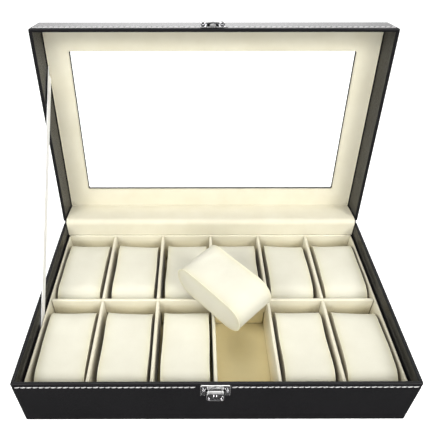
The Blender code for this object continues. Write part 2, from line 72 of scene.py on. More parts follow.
CHANNEL_DEPTH = 0.00045
CHANNEL_HALF_WIDTH = 0.0012
STITCH_PITCH = 0.0044
STITCH_LENGTH = 0.0041
LID_STITCH_LENGTH = 0.0043
THREAD_RADIUS = 0.00050
STITCH_SLANT = math.radians(9)
STITCH_SIDES = 8
STITCH_STEPS = 8

# Window
PANE_OVERLAP = 0.0037
PANE_REBATE = 0.0050
WINDOW_CORNER = 0.0015
REBATE_HIGH = 0.0282
PANEL_LOW = 0.0271
FRAME_CLOTH_LOW = 0.0258
FRAME_CLOTH_HIGH = 0.0268
CORD_RAISE = 0.0005
CORD = 0.00065
FRAME_PUFF = 0.0004
FRAME_GAP = 0.0003

# Soft pieces
RIBBON_WIDTH = 0.008
RIBBON_THICKNESS = 0.00034
RIBBON_TAIL = 0.0075
RIBBON_STEPS = 90
LOOSE_TURN = math.radians(43.0)
LOOSE_PITCH = math.radians(2.5)
LOOSE_ROLL = math.radians(-6.5)
PILLOW_WIDTH = 0.039
PILLOW_LENGTH = 0.0740
PILLOW_HEIGHT = 0.0328
PILLOW_END_RADIUS = 0.0145
PILLOW_SHRINK = 0.0009
PILLOW_SIDE_SHRINK = 0.0003
PILLOW_SIDE_SWELL = 0.0013
PILLOW_ARC_STEPS = 9
PILLOW_LONG_STEPS = 18
PILLOW_SHORT_STEPS = 2
PILLOW_BAND_STEPS = 15
PILLOW_SEAM_STEP = 0.0007
PILLOW_PANEL_INSETS = (0.0007, 0.0026, 0.0050, 0.0074, 0.0098, 0.0120, 0.0136)
PILLOW_CAP = 0.0020
PILLOW_SEAM_RAISE = 0.00040
PILLOW_SEAM_CREASE = 0.6
PILLOW_PUCKER = 0.00016
SEAM_FADE = 0.003
PILLOW_SAG = 0.0006
PILLOW_VARIANTS = 3

# How far each pillow lies off the middle of its slot, and its turn in degrees
PILLOW_LIE = {
    "pillow_back_1": (0.0006, -1.2),
    "pillow_back_2": (0.0010, 0.0),
    "pillow_back_3": (0.0004, -0.4),
    "pillow_back_4": (0.0, 0.0),
    "pillow_back_5": (0.0, 0.4),
    "pillow_back_6": (0.0, 0.6),
    "pillow_front_1": (0.0012, 0.3),
    "pillow_front_2": (0.0013, 0.3),
    "pillow_front_3": (0.0008, 0.0),
    "pillow_front_5": (0.0, 0.4),
    "pillow_front_6": (0.0, 0.0),
}

# Latch
LATCH_SHEET = 0.0008
LATCH_EAR_WIDTH = 0.0038
LATCH_SCREW_X = 0.0089
LATCH_SCREW_Z = 0.0450
LATCH_LUG_X = 0.00495
LATCH_BARREL = 0.00115
LATCH_BORE = 0.00075
LEVER_BACK_OUT = 0.0006
LEVER_DEPTH = 0.0029
SCREW_RADIUS = 0.0015
SCREW_HEAD = 0.0009
SCREW_TURN = math.radians(20)
CATCH_SCREW_X = 0.0080
CATCH_SCREW_HEAD = 0.0013
CATCH_BOSS = 0.0018
CATCH_BOSS_MIDDLE = 0.0098

# Camera and room
SEAM_CLOSENESS = "seam_closeness"
# Painted shade beside the pillows' seams, and a painted highlight on their fold
SEAM_SIDE_PAINTED_SHADE = (0.94, 0.92, 0.80)
SEAM_PAINTED_HIGHLIGHT = (1.24, 1.24, 1.22)
# Painted shade in narrow gaps: how far the occlusion looks, its ramp, and the darkest colours for lining and
# pillows
GAP_REACH = 0.010
GAP_OPEN = (0.08, 0.50)
LINING_GAP_SHADE = (0.20, 0.155, 0.075)
PILLOW_GAP_SHADE = (0.52, 0.46, 0.34)
CAMERA_PLACE = (-0.01519, -0.27364, 0.35272)
CAMERA_TILT = math.radians(49.73)
CAMERA_TURN = math.radians(-0.1245)
CAMERA_LENS = 38.143
CAMERA_SHIFT = (0.0493, 0.0226)

ARC_STEPS = 6
CORNER_STEPS = 6
SHARP = math.radians(38)

hinge = next(j for j in frame["joints"] if j["name"] == "lid_hinge")
lever_hinge = next(j for j in frame["joints"] if j["name"] == "latch_lever_hinge")
LID_OPEN = math.radians(hinge["range_deg"][0])
HINGE = Vector(hinge["pos_m"])
lid_turn = Matrix.Translation(HINGE) @ Matrix.Rotation(LID_OPEN, 4, "X")


def node_box(*names):
    """Lowest and highest corner of several CAD nodes together."""
    boxes = [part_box(name) for name in names]
    low = Vector([min(box[0][axis] for box in boxes) for axis in range(3)])
    high = Vector([max(box[1][axis] for box in boxes) for axis in range(3)])
    return low, high


def closed_box(*names):
    """The same for nodes of the lid, with the lid closed and the hinge line as origin."""
    back = lid_turn.inverted()
    spots = [back @ vertex.co for name in names for vertex in frame["nodes"][name].data.vertices]
    low = Vector([min(spot[axis] for spot in spots) for axis in range(3)])
    high = Vector([max(spot[axis] for spot in spots) for axis in range(3)])
    return low, high


# Material building

class Nodes:
    """Short forms for adding and linking shader nodes."""

    def __init__(self, name):
        self.material = bpy.data.materials.new(name)
        self.material.use_nodes = True
        self.tree = self.material.node_tree
        self.shader = self.tree.nodes["Principled BSDF"]
        self.place = self.tree.nodes.new("ShaderNodeTexCoord").outputs["Object"]

    def add(self, kind, **settings):
        node = self.tree.nodes.new(kind)
        for key, value in settings.items():
            setattr(node, key, value)
        return node

    def link(self, source, target):
        self.tree.links.new(source, target)

    def noise(self, scale, detail=2.0, roughness=0.5):
        node = self.add("ShaderNodeTexNoise")
        node.inputs["Scale"].default_value = scale
        node.inputs["Detail"].default_value = detail
        node.inputs["Roughness"].default_value = roughness
        self.link(self.place, node.inputs["Vector"])
        return node.outputs["Fac"]

    def cells(self, scale, feature="DISTANCE_TO_EDGE"):
        node = self.add("ShaderNodeTexVoronoi", feature=feature)
        node.inputs["Scale"].default_value = scale
        self.link(self.place, node.inputs["Vector"])
        return node.outputs["Distance"]

    def ramp(self, value, low, high, from_low=0.3, from_high=0.7):
        """value in a range becomes another range of values."""
        node = self.add("ShaderNodeMapRange")
        node.inputs["From Min"].default_value = from_low
        node.inputs["From Max"].default_value = from_high
        node.inputs["To Min"].default_value = low
        node.inputs["To Max"].default_value = high
        self.link(value, node.inputs["Value"])
        return node.outputs["Result"]

    def mix(self, factor, first, second):
        node = self.add("ShaderNodeMix", data_type="RGBA")
        self.link(factor, node.inputs["Factor"])
        for socket, colour in ((node.inputs[6], first), (node.inputs[7], second)):
            if isinstance(colour, tuple):
                socket.default_value = (*colour, 1.0)
            else:
                self.link(colour, socket)
        return node.outputs[2]

    def product(self, first, second):
        node = self.add("ShaderNodeMix", data_type="RGBA", blend_type="MULTIPLY")
        node.inputs["Factor"].default_value = 1.0
        self.link(first, node.inputs[6])
        self.link(second, node.inputs[7])
        return node.outputs[2]

    def painted_gap_shade(self, deepest):
        """A multiplier from ambient occlusion: white in the open, falling to deepest in a narrow gap. This is
        painted shade.
        """
        node = self.add("ShaderNodeAmbientOcclusion", samples=8)
        node.inputs["Distance"].default_value = GAP_REACH
        return self.mix(self.ramp(node.outputs["AO"], 0.0, 1.0, *GAP_OPEN), deepest, (1.0, 1.0, 1.0))

    def bump(self, height, distance, strength=1.0, below=None):
        node = self.add("ShaderNodeBump")
        node.inputs["Strength"].default_value = strength
        node.inputs["Distance"].default_value = distance
        self.link(height, node.inputs["Height"])
        if below is not None:
            self.link(below, node.inputs["Normal"])
        return node.outputs["Normal"]

    def set(self, **values):
        for key, value in values.items():
            socket = self.shader.inputs[key.replace("_", " ")]
            if isinstance(value, bpy.types.NodeSocket):
                self.link(value, socket)
            elif isinstance(value, tuple):
                socket.default_value = (*value, 1.0)
            else:
                socket.default_value = value
        return self.material


def leatherette_material():
    """Black pebble-grain leatherette: fine cells, broad unevenness and a satin sheen."""
    nodes = Nodes("black_leatherette")
    patches = nodes.noise(35.0, 3.0)
    pebbles = nodes.cells(1300.0)
    pores = nodes.noise(5200.0, 3.0, 0.6)
    swell = nodes.noise(60.0, 2.0)
    edge = nodes.ramp(pebbles, 0.0, 1.0, 0.0, 0.35)
    tone = nodes.mix(nodes.ramp(patches, 0.0, 1.0), (0.0115, 0.0112, 0.0125), (0.0165, 0.0160, 0.0175))
    colour = nodes.mix(edge, (0.0090, 0.0088, 0.0100), tone)
    normal = nodes.bump(swell, 0.0004, 0.35)
    normal = nodes.bump(edge, 0.00008, 0.6, normal)
    normal = nodes.bump(pores, 0.00004, 0.30, normal)
    rough = nodes.ramp(patches, 0.36, 0.46)
    return nodes.set(Base_Color=colour, Roughness=rough, Normal=normal, Specular_IOR_Level=0.05,
                     Coat_Weight=1.0, Coat_IOR=1.22, Coat_Roughness=0.2)


def velvet_material(name, dark, light, fleck, sheen, gap, depth_shade=None, seamed=False):
    """Short-pile velvet: clouded tone where the pile lies differently, and a soft sheen. A depth colour, if given,
    multiplies its colour towards the bottom of the tray as painted shade. A seamed velvet gets painted shade,
    warmer and darker, beside its seams and a pale painted highlight on their fold. In narrow gaps its colour falls
    to the gap colour as painted shade."""
    nodes = Nodes(name)
    clouds = nodes.noise(55.0, 3.0)
    pile = nodes.noise(2600.0, 4.0, 0.65)
    lay = nodes.noise(420.0, 3.0, 0.55)
    tone = nodes.mix(nodes.ramp(clouds, 0.0, 1.0), dark, light)
    colour = nodes.mix(nodes.ramp(pile, 0.0, 0.30, 0.45, 0.75), tone, fleck)
    # Painted shade: the colour is darker and warmer towards the bottom of the tray
    if depth_shade:
        parts = nodes.add("ShaderNodeSeparateXYZ")
        nodes.link(nodes.place, parts.inputs["Vector"])
        painted_depth_shade = nodes.mix(nodes.ramp(parts.outputs["Z"], 0.0, 1.0, 0.005, 0.034), depth_shade, (1.0, 1.0, 1.0))
        colour = nodes.product(colour, painted_depth_shade)
    if seamed:
        closeness = nodes.add("ShaderNodeAttribute", attribute_name=SEAM_CLOSENESS).outputs["Fac"]
        # Painted shade beside the seams and a painted highlight on their fold
        beside = nodes.mix(nodes.ramp(closeness, 0.0, 1.0, 0.0, 0.6), (1.0, 1.0, 1.0), SEAM_SIDE_PAINTED_SHADE)
        fold = nodes.mix(nodes.ramp(closeness, 0.0, 1.0, 0.65, 0.95), beside, SEAM_PAINTED_HIGHLIGHT)
        colour = nodes.product(colour, fold)
    # Painted shade: the colour darkens towards the gap colour in narrow gaps
    colour = nodes.product(colour, nodes.painted_gap_shade(gap))
    normal = nodes.bump(lay, 0.00025, 0.25)
    normal = nodes.bump(pile, 0.00012, 0.45, normal)
    nodes.set(Sheen_Weight=sheen, Sheen_Roughness=0.45, Specular_IOR_Level=0.15)
    return nodes.set(Base_Color=colour, Roughness=0.92, Normal=normal)


def satin_material():
    """White satin ribbon: fine ribs across it and a soft shine along it."""
    nodes = Nodes("white_satin")
    ribs = nodes.add("ShaderNodeTexWave", wave_type="BANDS", bands_direction="Z")
    ribs.inputs["Scale"].default_value = 900.0
    ribs.inputs["Distortion"].default_value = 0.6
    nodes.link(nodes.place, ribs.inputs["Vector"])
    threads = nodes.noise(3000.0, 2.0)
    colour = nodes.mix(nodes.ramp(threads, 0.0, 1.0), (0.93, 0.93, 0.93), (0.97, 0.97, 0.97))
    normal = nodes.bump(ribs.outputs["Fac"], 0.00005, 0.35)
    nodes.set(Sheen_Weight=0.3, Specular_IOR_Level=0.5)
    return nodes.set(Base_Color=colour, Roughness=nodes.ramp(threads, 0.32, 0.42), Normal=normal)


def thread_material():
    """Waxed white thread with a twist."""
    nodes = Nodes("white_thread")
    twist = nodes.add("ShaderNodeTexWave", wave_type="BANDS", bands_direction="DIAGONAL")
    twist.inputs["Scale"].default_value = 1500.0
    nodes.link(nodes.place, twist.inputs["Vector"])
    fibres = nodes.noise(6000.0, 2.0)
    # The twist's grooves are painted darker than its ridges: painted shade
    colour = nodes.mix(nodes.ramp(twist.outputs["Fac"], 0.0, 1.0, 0.2, 0.8), (0.50, 0.50, 0.51), (0.80, 0.79, 0.79))
    normal = nodes.bump(twist.outputs["Fac"], 0.00010, 0.6)
    normal = nodes.bump(fibres, 0.00003, 0.4, normal)
    return nodes.set(Base_Color=colour, Roughness=nodes.ramp(fibres, 0.45, 0.6), Normal=normal)


def chrome_material(name, frosted_x=None):
    """Plating with the faint waviness of a stamped part, rubbed matt and pale along its edges. Between
    the two places frosted_x along X it is partly matt all over."""
    nodes = Nodes(name)
    haze = nodes.noise(900.0, 3.0)
    ripple = nodes.noise(260.0, 2.0)
    bend = nodes.add("ShaderNodeNewGeometry").outputs["Pointiness"]
    rubbed = nodes.ramp(bend, 0.0, 1.0, 0.53, 0.62)
    if frosted_x:
        parts = nodes.add("ShaderNodeSeparateXYZ")
        nodes.link(nodes.place, parts.inputs["Vector"])
        middle, half = sum(frosted_x) / 2, (frosted_x[1] - frosted_x[0]) / 2
        away = nodes.add("ShaderNodeMath", operation="COMPARE")
        nodes.link(parts.outputs["X"], away.inputs[0])
        away.inputs[1].default_value, away.inputs[2].default_value = middle, half
        either = nodes.add("ShaderNodeMath", operation="MAXIMUM")
        nodes.link(rubbed, either.inputs[0])
        nodes.link(nodes.ramp(away.outputs["Value"], 0.0, 0.42, 0.0, 1.0), either.inputs[1])
        rubbed = either.outputs["Value"]
    plain = nodes.mix(nodes.ramp(haze, 0.0, 1.0), (0.66, 0.66, 0.68), (0.80, 0.80, 0.81))
    colour = nodes.mix(rubbed, plain, (0.74, 0.74, 0.73))
    normal = nodes.bump(ripple, 0.0002, 0.12)
    rough = nodes.ramp(rubbed, 0.10, 0.38, 0.0, 1.0)
    metallic = nodes.ramp(rubbed, 1.0, 0.55, 0.0, 1.0)
    return nodes.set(Base_Color=colour, Roughness=rough, Metallic=metallic, Normal=normal)


def glass_material():
    """Clear sheet that lets lamps through; faint smears vary its roughness."""
    nodes = Nodes("clear_pane")
    smears = nodes.noise(45.0, 4.0, 0.6)
    nodes.set(Base_Color=(0.98, 0.99, 0.99), Transmission_Weight=1.0, IOR=1.45)
    nodes.set(Roughness=nodes.ramp(smears, 0.0, 0.03))
    clear = nodes.add("ShaderNodeBsdfTransparent")
    path = nodes.add("ShaderNodeLightPath")
    either = nodes.add("ShaderNodeMath", operation="MAXIMUM")
    nodes.link(path.outputs["Is Shadow Ray"], either.inputs[0])
    nodes.link(path.outputs["Is Diffuse Ray"], either.inputs[1])
    mixed = nodes.add("ShaderNodeMixShader")
    nodes.link(either.outputs[0], mixed.inputs["Fac"])
    nodes.link(nodes.shader.outputs["BSDF"], mixed.inputs[1])
    nodes.link(clear.outputs["BSDF"], mixed.inputs[2])
    nodes.link(mixed.outputs["Shader"], nodes.tree.nodes["Material Output"].inputs["Surface"])
    return nodes.material


leatherette = leatherette_material()
lining_velvet = velvet_material("lining_velvet", (0.73, 0.69, 0.54), (0.77, 0.735, 0.59), (0.81, 0.78, 0.66), 0.25,
                               LINING_GAP_SHADE, depth_shade=(1.0, 0.92, 0.68))
pillow_velvet = velvet_material("pillow_velvet", (0.69, 0.67, 0.56), (0.725, 0.71, 0.60), (0.77, 0.76, 0.68), 0.25,
                                PILLOW_GAP_SHADE, seamed=True)
satin = satin_material()
thread = thread_material()
chrome = chrome_material("polished_chrome")
frosted = chrome_material("frosted_chrome", (lever_hinge["pos_m"][0] - 0.0062, lever_hinge["pos_m"][0] + 0.0062))
glass = glass_material()


# Mesh building

def piece(name, mesh, material, body=None, replaces=()):
    obj = bpy.data.objects.new(name, mesh)
    bpy.context.scene.collection.objects.link(obj)
    mesh.materials.clear()
    mesh.materials.append(material)
    if body:
        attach(obj, body)
    if replaces:
        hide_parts(*replaces)
    return obj


def soften(obj):
    """Flat faces keep flat shading next to rounded edges."""
    weighted = obj.modifiers.new("even_shading", "WEIGHTED_NORMAL")
    weighted.keep_sharp = True
    weighted.weight = 60
    return obj


def mesh_from(shape, name="mesh", sharp=SHARP):
    """A bmesh becomes a mesh with faces pointing out and smooth rounds."""
    bmesh.ops.recalc_face_normals(shape, faces=shape.faces)
    mesh = bpy.data.meshes.new(name)
    shape.to_mesh(mesh)
    shape.free()
    mesh.shade_smooth()
    mesh.set_sharp_from_angle(angle=sharp)
    return mesh


def rounded_path(corners, closed=True, steps=ARC_STEPS):
    """Points through corners (x, y, radius), with an arc at each rounded one."""
    points = []
    for index, (x, y, radius) in enumerate(corners):
        here = Vector((x, y))
        at_end = not closed and index in (0, len(corners) - 1)
        if radius <= 0 or at_end:
            points.append(here)
            continue
        before = (Vector(corners[index - 1][:2]) - here).normalized()
        after = (Vector(corners[(index + 1) % len(corners)][:2]) - here).normalized()
        half_angle = before.angle(after) / 2
        centre = here + (before + after).normalized() * radius / math.sin(half_angle)
        first = (here + before * radius / math.tan(half_angle) - centre).normalized()
        last = (here + after * radius / math.tan(half_angle) - centre).normalized()
        for step in range(steps + 1):
            points.append(centre + radius * first.slerp(last, step / steps))
    return points


def rectangle_ring(low, high, z, radius):
    """Rounded rectangle at height z, anticlockwise from above."""
    corners = (
        (high.x - radius, high.y - radius, 0),
        (low.x + radius, high.y - radius, 90),
        (low.x + radius, low.y + radius, 180),
        (high.x - radius, low.y + radius, 270),
    )
    ring = []
    for x, y, turn in corners:
        for step in range(CORNER_STEPS + 1):
            angle = math.radians(turn + 90 * step / CORNER_STEPS)
            ring.append(Vector((x + radius * math.cos(angle), y + radius * math.sin(angle), z)))
    return ring


def loft(rings, closed_profile=False, caps=False):
    """Skin through rings of equal length. With caps, the first and last rings are filled."""
    shape = bmesh.new()
    rows = [[shape.verts.new(spot) for spot in ring] for ring in rings]
    pairs = list(zip(rows, rows[1:]))
    if closed_profile:
        pairs.append((rows[-1], rows[0]))
    for lower, upper in pairs:
        for index in range(len(lower)):
            after = (index + 1) % len(lower)
            shape.faces.new((lower[index], lower[after], upper[after], upper[index]))
    if caps:
        shape.faces.new(reversed(rows[0]))
        shape.faces.new(rows[-1])
    return shape


def solid_of(shape, name="tool"):
    """A hidden object holding a bmesh, for Boolean steps."""
    obj = bpy.data.objects.new(name, mesh_from(shape, name))
    bpy.context.scene.collection.objects.link(obj)
    return obj


def combined(first, *steps):
    """Mesh of a bmesh after Boolean steps (operation, bmesh). The helpers are removed."""
    base = solid_of(first)
    helpers = []
    for operation, shape in steps:
        helper = solid_of(shape)
        helpers.append(helper)
        boolean = base.modifiers.new("step", "BOOLEAN")
        boolean.operation = operation
        boolean.solver = "EXACT"
        boolean.object = helper
    mesh = evaluated(base)
    for obj in (base, *helpers):
        bpy.data.objects.remove(obj, do_unlink=True)
    return mesh


def evaluated(obj):
    """The mesh of an object with its modifiers applied."""
    bpy.context.view_layer.update()
    graph = bpy.context.evaluated_depsgraph_get()
    return bpy.data.meshes.new_from_object(obj.evaluated_get(graph))


def bevelled(mesh, width, segments=2, angle=SHARP):
    """A mesh with its sharp edges rounded."""
    obj = bpy.data.objects.new("bevelled", mesh)
    bpy.context.scene.collection.objects.link(obj)
    bevel = obj.modifiers.new("rounding", "BEVEL")
    bevel.width = width
    bevel.segments = segments
    bevel.limit_method = "ANGLE"
    bevel.angle_limit = angle
    bevel.harden_normals = False
    made = evaluated(obj)
    bpy.data.objects.remove(obj, do_unlink=True)
    made.shade_smooth()
    made.set_sharp_from_angle(angle=SHARP)
    return made


def ripple(spot, size, scale, seed=0.0):
    """Smooth unevenness of a sheet at a point."""
    return size * noise.noise(Vector(spot) * scale + Vector((seed, 0.37 * seed, 1.7 * seed)))


# Leatherette walls

def wall_profile(top, foot, board, foot_radius):
    """(inset, z) points round a wall's section: outer face with groove and stitch channel, rim, inner face."""
    groove = top - GROOVE_BELOW_RIM
    stitch = top - STITCH_BELOW_RIM
    return rounded_path(
        [
            (0, foot, foot_radius),
            (0, stitch - CHANNEL_HALF_WIDTH, 0.0004),
            (CHANNEL_DEPTH, stitch - CHANNEL_HALF_WIDTH / 2, 0.0004),
            (CHANNEL_DEPTH, stitch + CHANNEL_HALF_WIDTH / 2, 0.0004),
            (0, groove - GROOVE_HALF_WIDTH, 0.0002),
            (GROOVE_DEPTH, groove, 0.0002),
            (0, groove + GROOVE_HALF_WIDTH, 0.0002),
            (0, top, RIM_RADIUS),
            (board, top, RIM_RADIUS),
            (board, foot, 0.0003),
        ],
        steps=4,
    )


def inset_ring(low, high, inset, z, corner=CORNER_RADIUS):
    shrink = Vector((inset, inset, 0))
    return rectangle_ring(low + shrink, high - shrink, z, max(corner - inset, 0.0004))


def build_base_wrap():
    names = ("base_front_board", "base_back_board", "base_left_board", "base_right_board")
    low, high = node_box(*names)
    profile = wall_profile(high.z, low.z, BOARD, FOOT_RADIUS)
    rings = [inset_ring(low, high, inset, z) for inset, z in profile]
    mesh = mesh_from(loft(rings, closed_profile=True), "base_wrap")
    soften(piece("base_leather_wrap", mesh, leatherette, "base", names))


def build_lid_wrap():
    """Lid walls and top panel are covered in one piece, with the window's opening and its rebate."""
    names = ("lid_front_board", "lid_back_board", "lid_left_board", "lid_right_board", "lid_top_panel")
    low, high = closed_box(*names)
    window_low, window_high = window_opening(-0.0008, 0.0006, -0.0012)
    bare = wall_profile(-low.z, -high.z, BOARD, RIM_RADIUS)
    # The wall's section is the base's upside down: the lid's rim is at the bottom when it is closed.
    wall = [(inset, -z) for inset, z in bare]
    outer = [spot for spot in wall if spot[0] < BOARD / 2 or spot[1] < low.z + RIM_RADIUS + 0.0001]
    rings = [inset_ring(low, high, inset, z) for inset, z in outer]
    rings.append(inset_ring(low, high, BOARD, PANEL_LOW))
    for outset, z, radius in (
        (PANE_REBATE, PANEL_LOW, WINDOW_CORNER),
        (PANE_REBATE, REBATE_HIGH, WINDOW_CORNER),
        (0.0, REBATE_HIGH, WINDOW_CORNER),
        (0.0, high.z - 0.0005, WINDOW_CORNER),
        (0.00007, high.z - 0.00025, WINDOW_CORNER),
        (0.00025, high.z - 0.00007, WINDOW_CORNER),
        (0.0005, high.z, WINDOW_CORNER),
    ):
        grow = Vector((outset, outset, 0))
        rings.append(rectangle_ring(window_low - grow, window_high + grow, z, radius))
    shape = loft(rings, closed_profile=True)
    shape.transform(lid_turn)
    soften(piece("lid_leather_wrap", mesh_from(shape, "lid_wrap"), leatherette, "lid", names))


def window_opening(side=0.0, front=0.0, back=0.0):
    """Lowest and highest corner of the CAD panel's opening on the closed lid, moved out at its sides."""
    low, high = closed_box("window_pane")
    overlap = Vector((PANE_OVERLAP, PANE_OVERLAP, 0))
    return low + overlap - Vector((side, front, 0)), high - overlap + Vector((side, back, 0))


# Stitches

def stitch_points(length):
    """One stitch along +X, out of the surface along +Z: its ends dive below the surface."""
    rings = []
    for step in range(STITCH_STEPS + 1):
        along = -math.cos(math.pi * step / STITCH_STEPS)
        lift = THREAD_RADIUS * (0.55 - 1.35 * abs(along) ** 4)
        swell = THREAD_RADIUS * (1.0 - 0.35 * abs(along) ** 3)
        ring = []
        for side in range(STITCH_SIDES):
            angle = 2 * math.pi * side / STITCH_SIDES
            ring.append((
                along * length / 2,
                swell * math.cos(angle),
                lift * 0.6 + swell * 0.8 * math.sin(angle),
            ))
        rings.append(ring)
    return rings


def add_stitches(shape, start, end, outward, length, skip=None):
    """Row of stitches from start to end. skip is a (low, high) stretch of x with none."""
    rings = stitch_points(length)
    along = end - start
    count = int(along.length / STITCH_PITCH)
    across = outward.cross(along).normalized()
    for index in range(count):
        centre = start + along * (index + 0.5) / count
        if skip and skip[0] < centre.x < skip[1]:
            continue
        wobble = 1 + 0.35 * noise.noise(centre * 400)
        slant = Matrix.Rotation(STITCH_SLANT * wobble, 3, outward)
        axes = [slant @ along.normalized(), slant @ across, outward]
        rows = []
        for ring in rings:
            rows.append([
                shape.verts.new(centre + axes[0] * x * (0.96 + 0.04 * wobble) + axes[1] * y + axes[2] * z)
                for x, y, z in ring
            ])
        for lower, upper in zip(rows, rows[1:]):
            for side in range(STITCH_SIDES):
                after = (side + 1) % STITCH_SIDES
                shape.faces.new((lower[side], lower[after], upper[after], upper[side]))
        shape.faces.new(reversed(rows[0]))
        shape.faces.new(rows[-1])


def stitch_rows(low, high, z, latch_half, depth, length):
    """Rows round the front, left and right faces. The latch's stretch of the front has none."""
    margin = 0.0022
    shape = bmesh.new()
    latch_x = lever_hinge["pos_m"][0]
    skip = (latch_x - latch_half, latch_x + latch_half)
    add_stitches(
        shape,
        Vector((low.x + margin, low.y + depth, z)),
        Vector((high.x - margin, low.y + depth, z)),
        Vector((0, -1, 0)),
        length,
        skip,
    )
    for x, outward in ((low.x + depth, -1), (high.x - depth, 1)):
        add_stitches(
            shape,
            Vector((x, low.y + margin, z)),
            Vector((x, high.y - margin, z)),
            Vector((outward, 0, 0)),
            length,
        )
    return shape


def build_stitches():
    low, high = node_box("base_front_board", "base_back_board", "base_left_board", "base_right_board")
    shape = stitch_rows(low, high, high.z - STITCH_BELOW_RIM, 0.0125, CHANNEL_DEPTH, STITCH_LENGTH)
    piece("base_stitching", mesh_from(shape, "base_stitching"), thread, "base")
    low, high = closed_box("lid_front_board", "lid_back_board", "lid_left_board", "lid_right_board")
    shape = stitch_rows(low, high, low.z + STITCH_BELOW_RIM, 0.0112, 0.0, LID_STITCH_LENGTH)
    shape.transform(lid_turn)
    piece("lid_stitching", mesh_from(shape, "lid_stitching"), thread, "lid")


# Tray

def soft_board(outline, x_low, x_high, rounding):
    """Board wrapped in velvet: an outline in y and z, with thickness along x."""
    shape = bmesh.new()
    near = [shape.verts.new((x_low, y, z)) for y, z in outline]
    far = [shape.verts.new((x_high, y, z)) for y, z in outline]
    shape.faces.new(near)
    shape.faces.new(reversed(far))
    for index in range(len(near)):
        after = (index + 1) % len(near)
        shape.faces.new((near[index], far[index], far[after], near[after]))
    return bevelled(mesh_from(shape), rounding, 4)


def box_outline(low, high):
    return [(low.y, low.z), (high.y, low.z), (high.y, high.z), (low.y, high.z)]


def build_tray():
    for name in ("left_lining", "right_lining"):
        low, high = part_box(name)
        mesh = soft_board(box_outline(low, high), low.x, high.x, 0.00075)
        soften(piece(f"{name}_velvet", mesh, lining_velvet, "base", (name,)))
    for name in ("front_lining", "back_lining"):
        low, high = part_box(name)
        mesh = soft_board(box_outline(low, high), low.x, high.x, 0.0010)
        soften(piece(f"{name}_velvet", mesh, lining_velvet, "base", (name,)))
    cross_low, cross_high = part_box("cross_divider")
    half_slot = (cross_high.y - cross_low.y) / 2 + 0.0003
    middle = (cross_low.z + cross_high.z) / 2
    columns = [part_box(f"column_divider_{index}") for index in range(1, 6)]
    for index, (low, high) in enumerate(columns, 1):
        outline = [
            (low.y, low.z),
            (high.y, low.z),
            (high.y, high.z),
            (half_slot, high.z),
            (half_slot, middle),
            (-half_slot, middle),
            (-half_slot, high.z),
            (low.y, high.z),
        ]
        mesh = soft_board(outline, low.x, high.x, 0.00105)
        name = f"column_divider_{index}"
        soften(piece(f"{name}_velvet", mesh, lining_velvet, "base", (name,)))
    outline = [(cross_low.x, cross_low.z)]
    for low, high in columns:
        outline += [
            (low.x - 0.0003, cross_low.z),
            (low.x - 0.0003, middle - 0.0003),
            (high.x + 0.0003, middle - 0.0003),
            (high.x + 0.0003, cross_low.z),
        ]
    outline += [(cross_high.x, cross_low.z), (cross_high.x, cross_high.z), (cross_low.x, cross_high.z)]
    mesh = soft_board(outline, cross_low.y, cross_high.y, 0.00105)
    # The outline was drawn along y and its thickness along x, so the two are exchanged.
    mesh.transform(Matrix(((0, 1, 0, 0), (1, 0, 0, 0), (0, 0, 1, 0), (0, 0, 0, 1))))
    mesh.flip_normals()
    soften(piece("cross_divider_velvet", mesh, lining_velvet, "base", ("cross_divider",)))
    frame["nodes"]["floor_lining"].data.materials.clear()
    frame["nodes"]["floor_lining"].data.materials.append(lining_velvet)


def build_lid_lining():
    """Velvet frame round the window. Both edges are turned over a cord, with a crease beside it."""
    low, high = closed_box("lid_frame_lining")
    low += Vector((FRAME_GAP, FRAME_GAP, 0))
    high -= Vector((FRAME_GAP, FRAME_GAP, 0))
    window_low, window_high = window_opening(-0.0001, 0.0005, -0.0004)
    face = FRAME_CLOTH_LOW
    bead = [(0.0, -0.0003), (0.0, CORD_RAISE * 0.5), (0.15, CORD_RAISE * 0.87), (0.5, CORD_RAISE)]
    bead += [(1.0, CORD_RAISE * 0.8), (1.45, CORD_RAISE * 0.2), (1.6, -0.0001), (1.8, 0.0)]
    rings = [rectangle_ring(window_low, window_high, FRAME_CLOTH_HIGH, WINDOW_CORNER)]
    for outset, height in bead:
        reach = Vector((outset * CORD, outset * CORD, 0))
        rings.append(rectangle_ring(window_low - reach, window_high + reach, face - height, WINDOW_CORNER))
    inner = Vector((2.1 * CORD, 2.1 * CORD, 0))
    for step in range(9):
        share = step / 8
        puff = FRAME_PUFF * math.sin(math.pi * share)
        corner = WINDOW_CORNER + (0.0008 - WINDOW_CORNER) * share
        rings.append(rectangle_ring(
            (window_low - inner).lerp(low + inner, share), (window_high + inner).lerp(high - inner, share),
            face - puff, corner,
        ))
    for inset, height in reversed(bead):
        reach = Vector((inset * CORD, inset * CORD, 0))
        rings.append(rectangle_ring(low + reach, high - reach, face - height, 0.0008))
    rings.append(rectangle_ring(low, high, FRAME_CLOTH_HIGH, 0.0008))
    shape = loft(rings, closed_profile=True)
    shape.transform(lid_turn)
    mesh = mesh_from(shape, "lid_frame_velvet")
    soften(piece("lid_frame_velvet", mesh, lining_velvet, "lid", ("lid_frame_lining",)))


# Sheets that fold with the lid

